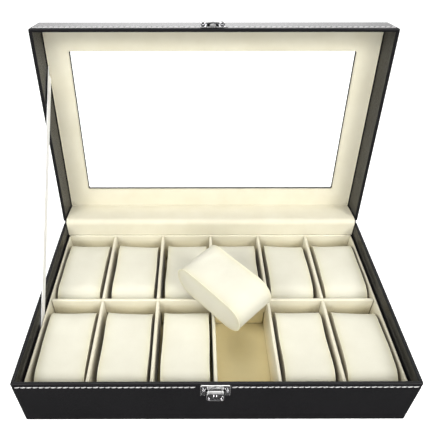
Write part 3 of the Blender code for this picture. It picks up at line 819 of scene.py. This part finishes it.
def folded_sheet(path, half_width, thickness, wave, across=60, hem=0.0):
    """Closed sheet along a path of (y, z) points. wave(x, share) gives its unevenness, and hem how far
    its two ends are thickened."""
    spots = [Vector((0, y, z)) for y, z in path]
    rows = []
    ends = [-half_width, 0.0002 - half_width, 0.0007 - half_width, 0.0011 - half_width, 0.0014 - half_width]
    inner = [(0.002 - half_width) * (1 - 2 * index / across) for index in range(across + 1)]
    for x in ends + inner + [-x for x in reversed(ends)]:
        edge = half_width - abs(x)
        near_edge = 0.5 if edge < 0.0001 else 1.0
        if 0.0001 < edge < 0.0012:
            near_edge += hem / thickness
        outer = []
        lower = []
        for place, spot in enumerate(spots):
            ahead = (spots[min(place + 1, len(spots) - 1)] - spots[max(place - 1, 0)]).normalized()
            normal = Vector((0, -ahead.z, ahead.y))
            share = place / (len(spots) - 1)
            shifted = spot + Vector((x, 0, 0)) + normal * wave(x, share)
            outer.append(shifted + normal * thickness / 2 * near_edge)
            lower.append(shifted - normal * thickness / 2 * near_edge)
        rows.append(outer + lower[::-1])
    return loft(rows, caps=True)


def even_path(corners, step):
    """An open rounded path cut into even short lengths."""
    rough = rounded_path(corners, closed=False, steps=10)
    lengths = np.array([(b - a).length for a, b in zip(rough, rough[1:])])
    travelled = np.concatenate([[0.0], np.cumsum(lengths)])
    count = max(2, int(travelled[-1] / step))
    wanted = np.linspace(0.0, travelled[-1], count + 1)
    ys = np.interp(wanted, travelled, [spot.x for spot in rough])
    zs = np.interp(wanted, travelled, [spot.y for spot in rough])
    return list(zip(ys, zs))


def on_lid(y, z):
    """World (y, z) of a point of the open lid, given on the closed lid from the hinge."""
    spot = lid_turn @ Vector((0, y, z))
    return spot.y, spot.z


def build_back_leather():
    low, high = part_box("back_leather_hinge")
    lid_low, lid_high = closed_box("lid_back_board")
    edge = 0.0006
    path = even_path([
        (HINGE.y, low.z, 0),
        (HINGE.y, HINGE.z, 0.0009),
        (*on_lid(0, lid_high.z - edge), 0),
    ], 0.0015)
    shape = folded_sheet(path, (high.x - low.x) / 2 - 0.0006, 0.0006, lambda x, share: 0.0, 12)
    mesh = mesh_from(shape, "back_leather")
    obj = piece("back_leather_sheet", mesh, leatherette, None, ("back_leather_hinge",))
    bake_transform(obj)
    soften(obj)


def build_hinge_cloth():
    """Velvet over the hinge, from the tray's back lining to the lid's frame. It hangs a little loose."""
    low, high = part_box("hinge_lining_cloth")
    half_width = (high.x - low.x) / 2
    tray_low, tray_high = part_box("back_lining")
    cloth_y = low.y
    base_y = tray_high.y - 0.0003
    thickness = 0.0007
    lid_low, lid_high = closed_box("lid_back_board")
    wall_y = lid_low.y - 0.0006
    corner_z = HINGE.z - wall_y * math.tan(-LID_OPEN / 2)
    path = even_path([
        (HINGE.y + wall_y, tray_high.z + 0.0002, 0),
        (HINGE.y + wall_y, corner_z, 0.0045),
        (*on_lid(wall_y, FRAME_CLOTH_LOW - 0.0006), 0),
    ], 0.0011)

    def wave(x, share):
        swag = math.sin(math.pi * share)
        return -0.0002 * swag + swag * ripple((x, 0, share * 0.02), 0.0005, 28.0, 3.0)

    shape = folded_sheet(path, half_width, thickness, wave, 84, 0.0004)
    mesh = mesh_from(shape, "hinge_cloth", math.radians(60))
    obj = piece("hinge_cloth_velvet", mesh, lining_velvet, None, ("hinge_lining_cloth",))
    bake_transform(obj)


def build_ribbon():
    """Satin stay ribbon, taut at the open angle. Its upper end is cut on a slant, with a long tail."""
    spots = [vertex.co.copy() for vertex in frame["nodes"]["stay_ribbon"].data.vertices]
    low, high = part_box("stay_ribbon")
    spots.sort(key=lambda spot: spot.y + spot.z)
    start = sum(spots[:len(spots) // 2], Vector()) / (len(spots) // 2)
    end = sum(spots[-(len(spots) // 2):], Vector()) / (len(spots) // 2)
    along = (end - start).normalized()
    across = Vector((0, -along.z, along.y))
    offsets = [-1 + 2 * side / 12 for side in range(13)]
    rows = []
    for index in range(RIBBON_STEPS + 1):
        share = index / RIBBON_STEPS
        row = []
        for face in (1, -1):
            for offset in offsets[::face]:
                selvedge = 1.5 if abs(offset) > 0.9 else 1.0
                tail = along * RIBBON_TAIL * ((1 + offset) / 2) ** 4
                spot = start.lerp(end + tail, share) + across * offset * RIBBON_WIDTH / 2
                row.append(spot + Vector((face * selvedge * RIBBON_THICKNESS / 2, 0, 0)))
        rows.append(row)
    mesh = mesh_from(loft(rows, caps=True), "stay_ribbon")
    obj = piece("stay_ribbon_satin", mesh, satin, None, ("stay_ribbon",))
    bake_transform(obj)


# Pillows

def pillow_outline(inset):
    """Points (y, z) of the pillow's side outline, moved in by inset. The first is the middle of the +Y end."""
    half_length = PILLOW_LENGTH / 2 - PILLOW_SHRINK - inset
    half_height = PILLOW_HEIGHT / 2 - PILLOW_SHRINK - inset
    radius = max(min(PILLOW_END_RADIUS - inset, half_height - 0.0001), 0.0004)
    corners = [(1, 1), (-1, 1), (-1, -1), (1, -1)]
    centres = [Vector((y * (half_length - radius), z * (half_height - radius))) for y, z in corners]
    points = []
    for index, centre in enumerate(centres):
        for step in range(PILLOW_ARC_STEPS):
            angle = math.pi / 2 * (index + step / PILLOW_ARC_STEPS)
            points.append(centre + radius * Vector((math.cos(angle), math.sin(angle))))
        angle = math.pi / 2 * (index + 1)
        reach = radius * Vector((math.cos(angle), math.sin(angle)))
        steps = (PILLOW_LONG_STEPS, PILLOW_SHORT_STEPS)[index % 2]
        for step in range(steps):
            points.append(reach + centre.lerp(centres[(index + 1) % 4], step / steps))
    return points[-1:] + points[:-1]


def seam_closeness(distance):
    """1 on a seam's fold, and fading from 0.6 to 0 beside it."""
    return 1.0 if distance < 0.0001 else 0.6 * math.exp(-distance / SEAM_FADE)


def pillow_cage(seed):
    """Closed cage of a pillow: a band round the outside and two side panels. Returns it with its seams."""
    half = PILLOW_WIDTH / 2 - PILLOW_SIDE_SHRINK
    inner = half - PILLOW_SEAM_STEP
    across = [-half, *np.linspace(-inner, inner, PILLOW_BAND_STEPS + 1), half]
    shape = bmesh.new()
    closeness = shape.verts.layers.float.new(SEAM_CLOSENESS)
    outline = pillow_outline(0.0)
    count = len(outline)
    band = [[shape.verts.new((x, y, z)) for y, z in outline] for x in across]
    for x, ring in zip(across, band):
        for vertex in ring:
            vertex[closeness] = seam_closeness(half - abs(x))
    for lower, upper in zip(band, band[1:]):
        skin(shape, lower, upper)
    for previous, x in ((band[0], across[0]), (band[-1], across[-1])):
        for inset in PILLOW_PANEL_INSETS:
            ring = [shape.verts.new((x, y, z)) for y, z in pillow_outline(inset)]
            for vertex in ring:
                vertex[closeness] = seam_closeness(inset)
            skin(shape, previous, ring)
            previous = ring
        shape.faces.new((previous[0], previous[1], previous[-1]))
        for index in range(1, count // 2 - 1):
            shape.faces.new((previous[index], previous[index + 1], previous[-index - 1], previous[-index]))
        middle = count // 2
        shape.faces.new((previous[middle - 1], previous[middle], previous[middle + 1]))
    bmesh.ops.recalc_face_normals(shape, faces=shape.faces)
    for vertex in shape.verts:
        vertex.co += unevenness(vertex.co, seed)
    shape.verts.index_update()
    seams = [[vertex.index for vertex in ring] for ring in (band[0], band[-1])]
    mesh = bpy.data.meshes.new("pillow_cage")
    shape.to_mesh(mesh)
    shape.free()
    return mesh, seams


def skin(shape, lower, upper):
    """Faces between two rings of equal length."""
    for index in range(len(lower)):
        after = (index + 1) % len(lower)
        shape.faces.new((lower[index], lower[after], upper[after], upper[index]))


def unevenness(spot, seed):
    """How far hand sewing puts a point of the pillow out of place: slow waves, and raised back corners."""
    upper = min(1.0, max(0.0, spot.z / PILLOW_HEIGHT + 0.5) * 2)
    side = ripple((seed, spot.y, spot.z * 0.4), 0.0008, 34.0, seed)
    lift = ripple((spot.x, spot.y, seed), 0.0014, 34.0, seed + 5)
    corner = Vector((math.copysign(PILLOW_WIDTH / 2, spot.x), PILLOW_LENGTH * 0.41, PILLOW_HEIGHT * 0.40))
    ear = (0.0007 if spot.x < 0 else 0.0003) * math.exp(-((spot - corner).length / 0.0065) ** 2)
    return Vector((side * abs(spot.x) / (PILLOW_WIDTH / 2), ear * 0.6, lift * upper + ear))


def inflate(mesh, seams):
    """Air pressure swells the mesh between its seams, and no point moves further than the cap."""
    before = np.array([vertex.co for vertex in mesh.vertices], float)
    obj = bpy.data.objects.new("inflating", mesh)
    bpy.context.scene.collection.objects.link(obj)
    held = obj.vertex_groups.new(name="seams")
    held.add(seams[0] + seams[1], 1.0, "REPLACE")
    cloth = obj.modifiers.new("air", "CLOTH")
    cloth.settings.vertex_group_mass = "seams"
    cloth.settings.quality = 6
    cloth.settings.mass = 0.15
    cloth.settings.use_pressure = True
    cloth.settings.uniform_pressure_force = 4.0
    cloth.settings.tension_stiffness = 12.0
    cloth.settings.compression_stiffness = 12.0
    cloth.settings.shear_stiffness = 5.0
    cloth.settings.bending_stiffness = 0.4
    cloth.settings.effector_weights.gravity = 0.0
    cloth.point_cache.frame_start = 1
    cloth.point_cache.frame_end = 20
    for step in range(1, 21):
        bpy.context.scene.frame_set(step)
    made = evaluated(obj)
    bpy.context.scene.frame_set(1)
    bpy.data.objects.remove(obj, do_unlink=True)
    after = np.array([vertex.co for vertex in made.vertices], float)
    moved = after - before
    length = np.linalg.norm(moved, axis=1)
    after = before + moved * np.minimum(1.0, PILLOW_CAP / np.maximum(length, 1e-9))[:, None]
    made.vertices.foreach_set("co", after.astype(np.float32).ravel())
    print("pillow moved up to", round(float(length.max()) * 1000, 2), "mm")
    return made


def settle(mesh, seams, seed):
    """Fits the swollen pillow to its size, flattens its underside, and draws the seams up and in."""
    spots = np.array([vertex.co for vertex in mesh.vertices], float)
    limits = np.array([PILLOW_WIDTH / 2 + PILLOW_SIDE_SWELL, PILLOW_LENGTH / 2, PILLOW_HEIGHT / 2])
    top = limits[2] - PILLOW_SAG
    spots[:, 1] *= limits[1] / np.abs(spots[:, 1]).max()
    spots[:, 2] *= top / spots[:, 2].max()
    spots[:, 0] = np.clip(spots[:, 0], -limits[0], limits[0])
    on_seam = set(seams[0]) | set(seams[1])
    for index, spot in enumerate(spots):
        place = Vector(spot)
        round_share = min(1.0, max(0.0, (abs(place.y) - 0.020) / 0.010))
        outward = Vector((0, place.y * round_share, place.z))
        if outward.length > 0.002:
            outward.normalize()
        beside = math.exp(-abs(PILLOW_WIDTH / 2 - abs(place.x)) / 0.003)
        pucker = PILLOW_PUCKER * beside * round_share * math.sin(place.y * 1100 + place.z * 900 + seed * 9)
        raise_seam = PILLOW_SEAM_RAISE if index in on_seam else 0.0
        spots[index] = place + outward * (pucker + raise_seam)
    spots[:, 2] = np.maximum(spots[:, 2], -limits[2])
    mesh.vertices.foreach_set("co", spots.astype(np.float32).ravel())
    mesh.update()


def pillow_mesh(seed):
    """One watch pillow at the origin: inflated, settled and subdivided, with its seams kept crisp."""
    mesh, seams = pillow_cage(seed)
    mesh = inflate(mesh, seams)
    settle(mesh, seams, seed)
    shape = bmesh.new()
    shape.from_mesh(mesh)
    crease = shape.edges.layers.float.get("crease_edge") or shape.edges.layers.float.new("crease_edge")
    members = set(seams[0]) | set(seams[1])
    for edge in shape.edges:
        if edge.verts[0].index in members and edge.verts[1].index in members:
            edge[crease] = PILLOW_SEAM_CREASE
    shape.to_mesh(mesh)
    shape.free()
    obj = bpy.data.objects.new("pillow", mesh)
    bpy.context.scene.collection.objects.link(obj)
    smooth = obj.modifiers.new("fine", "SUBSURF")
    smooth.levels = 1
    made = evaluated(obj)
    bpy.data.objects.remove(obj, do_unlink=True)
    made.shade_smooth()
    return made


def build_pillows():
    variants = [pillow_mesh(seed + 1.0) for seed in range(PILLOW_VARIANTS)]
    names = sorted(name for name in frame["nodes"] if name.startswith("pillow_"))
    for index, name in enumerate(names):
        low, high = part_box(name)
        mesh = variants[index % PILLOW_VARIANTS].copy()
        if name == "pillow_loose":
            turn = Matrix.Rotation(LOOSE_TURN, 4, "Z")
            turn = turn @ Matrix.Rotation(LOOSE_PITCH, 4, "X") @ Matrix.Rotation(LOOSE_ROLL, 4, "Y")
        else:
            shift, degrees = PILLOW_LIE[name]
            turn = Matrix.Translation((shift, 0, 0)) @ Matrix.Rotation(math.radians(degrees), 4, "Z")
        mesh.transform(Matrix.Translation((low + high) / 2) @ turn)
        piece(f"{name}_velvet", mesh, pillow_velvet, f"{name}_body", (name,))


# Latch

def cylinder(radius, length, axis, centre, sides=24):
    """Closed cylinder along axis, about its centre."""
    shape = bmesh.new()
    bmesh.ops.create_cone(shape, cap_ends=True, segments=sides, radius1=radius, radius2=radius, depth=length)
    turn = Vector((0, 0, 1)).rotation_difference(Vector(axis)).to_matrix().to_4x4()
    shape.transform(Matrix.Translation(centre) @ turn)
    return shape


def cuboid(low, high):
    shape = bmesh.new()
    bmesh.ops.create_cube(shape, size=1.0)
    bmesh.ops.scale(shape, vec=Vector(high) - Vector(low), verts=shape.verts)
    bmesh.ops.translate(shape, vec=(Vector(high) + Vector(low)) / 2, verts=shape.verts)
    return shape


def inset_corners(corners, inset):
    """Corners (x, z, radius) of an anticlockwise outline, moved in by inset."""
    moved = []
    for index, (x, z, radius) in enumerate(corners):
        here = Vector((x, z))
        before = (here - Vector(corners[index - 1][:2])).normalized()
        after = (Vector(corners[(index + 1) % len(corners)][:2]) - here).normalized()
        inward = Vector((-before.y - after.y, before.x + after.x)) / (1 + before.dot(after))
        spot = here + inward * inset
        convex = before.cross(after) > 0
        moved.append((spot.x, spot.y, max(radius - inset, 0.00015) if convex else radius + inset))
    return moved


def stamped(corners, sections):
    """Sheet part with rounded edges, from one outline. sections are (inset, y), from the back round to
    the front's floor."""
    rings = []
    for inset, y in sections:
        rings.append([Vector((spot.x, y, spot.y)) for spot in rounded_path(inset_corners(corners, inset))])
    return loft(rings, caps=True)


def rimmed_plate(corners, back, front, rim=0.0006, recess=0.0003):
    """Plate with rounded edges and a low bright rim round its front."""
    return stamped(corners, (
        (0.0001, back),
        (0.0, back - 0.0001),
        (0.0, front + 0.00022),
        (0.00007, front + 0.00007),
        (0.00022, front),
        (rim - 0.0001, front),
        (rim, front + 0.00008),
        (rim + 0.00008, front + recess - 0.00005),
        (rim + 0.00018, front + recess),
    ))


def build_latch_plate():
    """Plate with an ear down each side, a low triangular facet in the middle, and lugs for the pin."""
    low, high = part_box("latch_plate")
    pivot = Vector(lever_hinge["pos_m"])
    half = (high.x - low.x) / 2
    ear = half - LATCH_EAR_WIDTH
    middle_low = pivot.z + 0.0006
    back = high.y
    front = back - LATCH_SHEET
    corners = [
        (-half, low.z, 0.0008), (-ear, low.z, 0.0006), (-ear, middle_low, 0.0004), (ear, middle_low, 0.0004),
        (ear, low.z, 0.0006), (half, low.z, 0.0008), (half, high.z, 0.0013), (-half, high.z, 0.0013),
    ]
    steps = []
    for side in (-1, 1):
        x = side * LATCH_LUG_X
        steps.append(("UNION", cuboid(
            (x - 0.00055, pivot.y + 0.0001, pivot.z + 0.0001), (x + 0.00055, back - 0.0004, pivot.z + 0.00105)
        )))
        steps.append(("UNION", cylinder(LATCH_BARREL, 0.0013, (1, 0, 0), Vector((x, pivot.y, pivot.z)))))
        steps.append(("DIFFERENCE", cylinder(
            0.0009, 0.004, (0, 1, 0), Vector((side * LATCH_SCREW_X, back, LATCH_SCREW_Z))
        )))
    facet = bmesh.new()
    foot = [(-0.0054, middle_low + 0.0009), (0.0054, middle_low + 0.0009), (0.0, high.z - 0.0003)]
    rings = [facet.verts.new((x, front + 0.0006, z)) for x, z in foot]
    peak = facet.verts.new((0.0, front - 0.0007, middle_low + 0.0024))
    facet.faces.new(rings)
    for index in range(3):
        facet.faces.new((rings[index], rings[(index + 1) % 3], peak))
    steps.append(("UNION", facet))
    steps.append(("DIFFERENCE", cylinder(
        0.0006, 0.004, (0, 1, 0), Vector((0, back - 0.0010, middle_low + 0.0021))
    )))
    steps.append(("DIFFERENCE", cylinder(LATCH_BORE, 0.03, (1, 0, 0), Vector((0, pivot.y, pivot.z)))))
    mesh = combined(rimmed_plate(corners, back, front), *steps)
    mesh.transform(Matrix.Translation((pivot.x, 0, 0)))
    shade_chrome(mesh)
    soften(piece("latch_plate_chrome", mesh, frosted, "base", ("latch_plate",)))


def shade_chrome(mesh):
    mesh.shade_smooth()
    mesh.set_sharp_from_angle(angle=math.radians(32))


def rib(half, sagitta, z_low, z_high, y):
    """Half-round rib standing out of a surface at y, along z, with domed ends."""
    rings = []
    for step in range(13):
        share = step / 12
        swell = math.sin(math.pi * min(1.0, max(0.04, min(share, 1 - share) * 5)) / 2)
        z = z_low + (z_high - z_low) * share
        ring = [Vector((half * swell * math.cos(turn), y - sagitta * swell * math.sin(turn), z))
                for turn in (math.pi * k / 10 for k in range(11))]
        ring.append(Vector((-half * swell * 0.8, y + 0.0003, z)))
        ring.append(Vector((half * swell * 0.8, y + 0.0003, z)))
        rings.append(ring)
    return loft(rings, caps=True)


def build_latch_lever():
    """Shallow pan with a rolled rim, a dished floor and a rib down its middle, hung from its knuckle."""
    low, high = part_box("latch_lever")
    pivot = Vector(lever_hinge["pos_m"])
    half = (high.x - low.x) / 2
    pan_high = pivot.z - 0.0015
    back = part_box("base_front_board")[0].y - LEVER_BACK_OUT
    rim = back - LEVER_DEPTH
    floor = back - 0.0009
    corners = [
        (-half, low.z, 0.0026), (half, low.z, 0.0026), (half, pan_high, 0.0012), (-half, pan_high, 0.0012),
    ]
    shape = stamped(corners, (
        (0.0016, back), (0.0007, back), (0.0002, back - 0.0003), (0.0, back - 0.0008),
        (0.0, rim + 0.00045), (0.00010, rim + 0.00016), (0.00032, rim), (0.00060, rim),
        (0.00082, rim + 0.00016), (0.00092, rim + 0.00045), (0.00105, floor - 0.0005), (0.0015, floor - 0.0001),
        (0.0022, floor), (0.0034, floor), (0.0045, floor),
    ))
    for vertex in shape.verts:
        if vertex.co.y > floor - 0.0002 and abs(vertex.co.x) < half - 0.0013 and vertex.co.y < back - 0.0004:
            vertex.co.y -= 0.0012 * (vertex.co.x / half) ** 2
    web = cuboid(
        (-0.0039, pivot.y + 0.0001, pan_high - 0.0004), (0.0039, pivot.y + 0.0013, pivot.z - 0.0001)
    )
    mesh = combined(
        shape,
        ("UNION", rib(0.0013, 0.0006, low.z + 0.0016, pan_high - 0.0016, floor)),
        ("UNION", web),
        ("UNION", cylinder(LATCH_BARREL, 0.0080, (1, 0, 0), Vector((0, pivot.y, pivot.z)))),
        ("DIFFERENCE", cylinder(LATCH_BORE, 0.02, (1, 0, 0), Vector((0, pivot.y, pivot.z)))),
    )
    mesh.transform(Matrix.Translation((pivot.x, 0, 0)))
    shade_chrome(mesh)
    soften(piece("latch_lever_chrome", mesh, chrome, "latch_lever_body", ("latch_lever",)))


def screw_mesh(head):
    """Pan head with a cross recess, on a short shank. It looks out along -Y, from the head's underside."""
    sides = 32
    profile = [(0.0006, -0.0026), (0.0006, 0.0), (SCREW_RADIUS * 0.97, 0.0), (SCREW_RADIUS, 0.00008)]
    for step in range(1, 8):
        turn = math.radians(88) * step / 7
        reach = SCREW_RADIUS * (1 - 0.85 * (1 - math.cos(turn)))
        profile.append((reach, 0.00008 + (head - 0.00008) * math.sin(turn)))
    rings = []
    for reach, out in profile:
        turns = (2 * math.pi * side / sides for side in range(sides))
        rings.append([Vector((reach * math.cos(turn), -out, reach * math.sin(turn))) for turn in turns])
    cutters = []
    for turn in (SCREW_TURN, SCREW_TURN + math.pi / 2):
        arm = cuboid((-0.00098, -head - 0.001, -0.00020), (0.00098, 0.00055 - head, 0.00020))
        arm.transform(Matrix.Rotation(turn, 4, "Y"))
        cutters.append(("DIFFERENCE", arm))
    mesh = combined(loft(rings, caps=True), *cutters)
    shade_chrome(mesh)
    return mesh


def build_screws():
    for name in ("latch_screw_left", "latch_screw_right"):
        low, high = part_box(name)
        mesh = screw_mesh(SCREW_HEAD)
        under = Vector(((low.x + high.x) / 2, low.y + SCREW_HEAD, (low.z + high.z) / 2))
        mesh.transform(Matrix.Translation(under))
        soften(piece(f"{name}_chrome", mesh, chrome, "base", (name,)))
    for name in ("catch_screw_left", "catch_screw_right"):
        low, high = closed_box(name)
        mesh = screw_mesh(CATCH_SCREW_HEAD)
        under = Vector(((low.x + high.x) / 2, low.y + SCREW_HEAD - CATCH_BOSS, CATCH_BOSS_MIDDLE))
        mesh.transform(lid_turn @ Matrix.Translation(under))
        soften(piece(f"{name}_chrome", mesh, chrome, "lid", (name,)))


def arch_prism(half, reach, foot_out, back, z_low, z_high, radius, crown=0.0006):
    """Solid arch standing out of a plate: a plan outline with a low crown, pushed from z_low to z_high."""
    plan = rounded_path([
        (-half, back - foot_out, 0),
        (-half, back - reach + crown, radius),
        (0.0, back - reach, 0.004),
        (half, back - reach + crown, radius),
        (half, back - foot_out, 0),
    ], closed=False)
    return loft([[Vector((spot.x, spot.y, z)) for spot in plan] for z in (z_low, z_high)], caps=True)


def build_catch():
    """Plate with raised screw bosses, a hollow stamped nose, and a lip inside for the lever to hook over."""
    low, high = closed_box("catch_plate")
    centre_x = (low.x + high.x) / 2
    half = (high.x - low.x) / 2
    back = high.y
    front = back - LATCH_SHEET
    reach = back - low.y
    corners = [
        (-half, low.z, 0.0010), (half, low.z, 0.0010), (half, high.z, 0.0020), (-half, high.z, 0.0020),
    ]
    nose_low = low.z + 0.0057
    steps = [
        ("UNION", arch_prism(0.0055, reach, 0.00027, back, nose_low, high.z - 0.00047, 0.0010)),
        ("DIFFERENCE", arch_prism(0.0047, reach - 0.0008, 0.00056, back, nose_low - 0.002, high.z - 0.0014,
                                  0.0006)),
        ("UNION", arch_prism(0.0024, 0.0030, 0.0004, back, low.z + 0.0004, low.z + 0.0040, 0.0012, 0.0009)),
    ]
    for side in (-1, 1):
        boss = stamped(
            [(-0.0019, CATCH_BOSS_MIDDLE - 0.0021, 0.0009), (0.0019, CATCH_BOSS_MIDDLE - 0.0021, 0.0009),
             (0.0019, high.z - 0.00031, 0.0012), (-0.0019, high.z - 0.00031, 0.0012)],
            ((0.0, front + 0.0004), (0.0, front - CATCH_BOSS + 0.0003), (0.0001, front - CATCH_BOSS + 0.0001),
             (0.0003, front - CATCH_BOSS)),
        )
        bmesh.ops.translate(boss, vec=(side * CATCH_SCREW_X, 0, 0), verts=boss.verts)
        hole = cylinder(0.0009, 0.012, (0, 1, 0), Vector((side * CATCH_SCREW_X, back, CATCH_BOSS_MIDDLE)))
        steps += [("UNION", boss), ("DIFFERENCE", hole)]
    mesh = combined(rimmed_plate(corners, back, front), *steps)
    mesh.transform(lid_turn @ Matrix.Translation((centre_x, 0, 0)))
    shade_chrome(mesh)
    soften(piece("catch_plate_chrome", mesh, chrome, "lid", ("catch_plate",)))


def finish_cad_nodes():
    """CAD nodes that stay get their finished materials."""
    for name, material in (
        ("base_bottom_board", leatherette),
        ("floor_lining", lining_velvet),
        ("window_pane", glass),
        ("latch_pin", chrome),
    ):
        data = frame["nodes"][name].data
        data.materials.clear()
        data.materials.append(material)


# Room

def build_room():
    size = 3.0
    bpy.ops.mesh.primitive_plane_add(size=2 * size, location=(0, 0, -0.0002))
    floor = bpy.context.object
    floor.name = "floor"
    material = bpy.data.materials.new("pale_floor")
    material.use_nodes = True
    tree = material.node_tree
    shader = tree.nodes["Principled BSDF"]
    shader.inputs["Base Color"].default_value = (0.90, 0.90, 0.90, 1)
    shader.inputs["Roughness"].default_value = 0.8
    shader.inputs["Specular IOR Level"].default_value = 0.1
    path = tree.nodes.new("ShaderNodeLightPath")
    lift = tree.nodes.new("ShaderNodeMath")
    lift.operation = "MULTIPLY"
    lift.inputs[1].default_value = 0.6
    seen = tree.nodes.new("ShaderNodeMath")
    seen.operation = "MAXIMUM"
    tree.links.new(path.outputs["Is Camera Ray"], seen.inputs[0])
    tree.links.new(path.outputs["Is Transmission Ray"], seen.inputs[1])
    tree.links.new(seen.outputs[0], lift.inputs[0])
    shader.inputs["Emission Color"].default_value = (1, 1, 1, 1)
    tree.links.new(lift.outputs[0], shader.inputs["Emission Strength"])
    tone = tree.nodes.new("ShaderNodeMix")
    tone.data_type = "RGBA"
    tone.inputs[6].default_value = (0.90, 0.90, 0.90, 1)
    tone.inputs[7].default_value = (0.06, 0.06, 0.06, 1)
    mirror = tree.nodes.new("ShaderNodeMath")
    mirror.operation = "SUBTRACT"
    mirror.use_clamp = True
    tree.links.new(path.outputs["Is Glossy Ray"], mirror.inputs[0])
    tree.links.new(path.outputs["Is Transmission Ray"], mirror.inputs[1])
    tree.links.new(mirror.outputs[0], tone.inputs["Factor"])
    tree.links.new(tone.outputs[2], shader.inputs["Base Color"])
    floor.data.materials.append(material)


def build_world():
    """White to the camera, soft grey to the object, and dark low down to what mirrors it."""
    world = bpy.data.worlds.new("studio")
    world.use_nodes = True
    bpy.context.scene.world = world
    tree = world.node_tree
    background = tree.nodes["Background"]
    output = tree.nodes["World Output"]
    background.inputs["Color"].default_value = (1.0, 0.995, 0.985, 1)
    background.inputs["Strength"].default_value = 0.32
    seen = tree.nodes.new("ShaderNodeBackground")
    seen.inputs["Color"].default_value = (1, 1, 1, 1)
    seen.inputs["Strength"].default_value = 1.0
    mirrored = tree.nodes.new("ShaderNodeBackground")
    place = tree.nodes.new("ShaderNodeTexCoord")
    towards = tree.nodes.new("ShaderNodeVectorMath")
    towards.operation = "DOT_PRODUCT"
    towards.inputs[1].default_value = (0, 0.8, 0.6)
    ramp = tree.nodes.new("ShaderNodeMapRange")
    ramp.inputs["From Min"].default_value = 0.0
    ramp.inputs["From Max"].default_value = 0.75
    ramp.inputs["To Min"].default_value = 0.02
    ramp.inputs["To Max"].default_value = 1.1
    tree.links.new(place.outputs["Generated"], towards.inputs[0])
    tree.links.new(towards.outputs["Value"], ramp.inputs["Value"])
    band = tree.nodes.new("ShaderNodeVectorMath")
    band.operation = "DOT_PRODUCT"
    band.inputs[1].default_value = (0, 0.93, 0.36)
    tree.links.new(place.outputs["Generated"], band.inputs[0])
    glow = tree.nodes.new("ShaderNodeMapRange")
    glow.inputs["From Min"].default_value = 0.88
    glow.inputs["From Max"].default_value = 0.94
    glow.inputs["To Min"].default_value = 0.0
    glow.inputs["To Max"].default_value = 1.4
    tree.links.new(band.outputs["Value"], glow.inputs["Value"])
    total = tree.nodes.new("ShaderNodeMath")
    tree.links.new(ramp.outputs["Result"], total.inputs[0])
    tree.links.new(glow.outputs["Result"], total.inputs[1])
    tree.links.new(total.outputs["Value"], mirrored.inputs["Strength"])
    path = tree.nodes.new("ShaderNodeLightPath")
    first = tree.nodes.new("ShaderNodeMixShader")
    second = tree.nodes.new("ShaderNodeMixShader")
    tree.links.new(path.outputs["Is Glossy Ray"], first.inputs["Fac"])
    tree.links.new(background.outputs["Background"], first.inputs[1])
    tree.links.new(mirrored.outputs["Background"], first.inputs[2])
    clear = tree.nodes.new("ShaderNodeMath")
    clear.operation = "MAXIMUM"
    tree.links.new(path.outputs["Is Camera Ray"], clear.inputs[0])
    tree.links.new(path.outputs["Is Transmission Ray"], clear.inputs[1])
    tree.links.new(clear.outputs[0], second.inputs["Fac"])
    tree.links.new(first.outputs["Shader"], second.inputs[1])
    tree.links.new(seen.outputs["Background"], second.inputs[2])
    tree.links.new(second.outputs["Shader"], output.inputs["Surface"])


def area_light(name, place, target, size, power, colour=(1, 1, 1), mirrored=True):
    light = bpy.data.lights.new(name, "AREA")
    light.shape = "RECTANGLE"
    light.size, light.size_y = size
    light.energy = power
    light.color = colour
    obj = bpy.data.objects.new(name, light)
    bpy.context.scene.collection.objects.link(obj)
    obj.location = place
    obj.rotation_euler = (Vector(target) - Vector(place)).to_track_quat("-Z", "Y").to_euler()
    obj.visible_glossy = mirrored


def build_lights():
    area_light("left", (-0.90, -0.80, 1.05), (0, 0, 0.05), (0.7, 0.6), 12.5, (1.0, 0.99, 0.97))
    area_light("right", (0.90, -0.80, 1.05), (0, 0, 0.05), (0.7, 0.6), 12.5, (1.0, 0.99, 0.97))
    area_light("overhead", (0.05, 0.35, 1.35), (0, 0.05, 0.1), (1.1, 0.6), 6.5)
    area_light("front", (0.0, -1.35, 0.50), (0, 0, 0.10), (0.8, 0.6), 6.8, mirrored=False)


def build_camera():
    lens = bpy.data.cameras.new("camera")
    lens.sensor_width = 36.0
    lens.lens = CAMERA_LENS
    lens.shift_x, lens.shift_y = CAMERA_SHIFT
    lens.clip_start = 0.01
    camera = bpy.data.objects.new("camera", lens)
    bpy.context.scene.collection.objects.link(camera)
    camera.location = CAMERA_PLACE
    camera.rotation_euler = (CAMERA_TILT, 0, CAMERA_TURN)
    bpy.context.scene.camera = camera
    bpy.context.scene.view_settings.view_transform = "Standard"


build_base_wrap()
build_lid_wrap()
build_stitches()
build_tray()
build_lid_lining()
build_back_leather()
build_hinge_cloth()
build_ribbon()
build_pillows()
build_latch_plate()
build_latch_lever()
build_screws()
build_catch()
finish_cad_nodes()
build_room()
build_world()
build_lights()
build_camera()
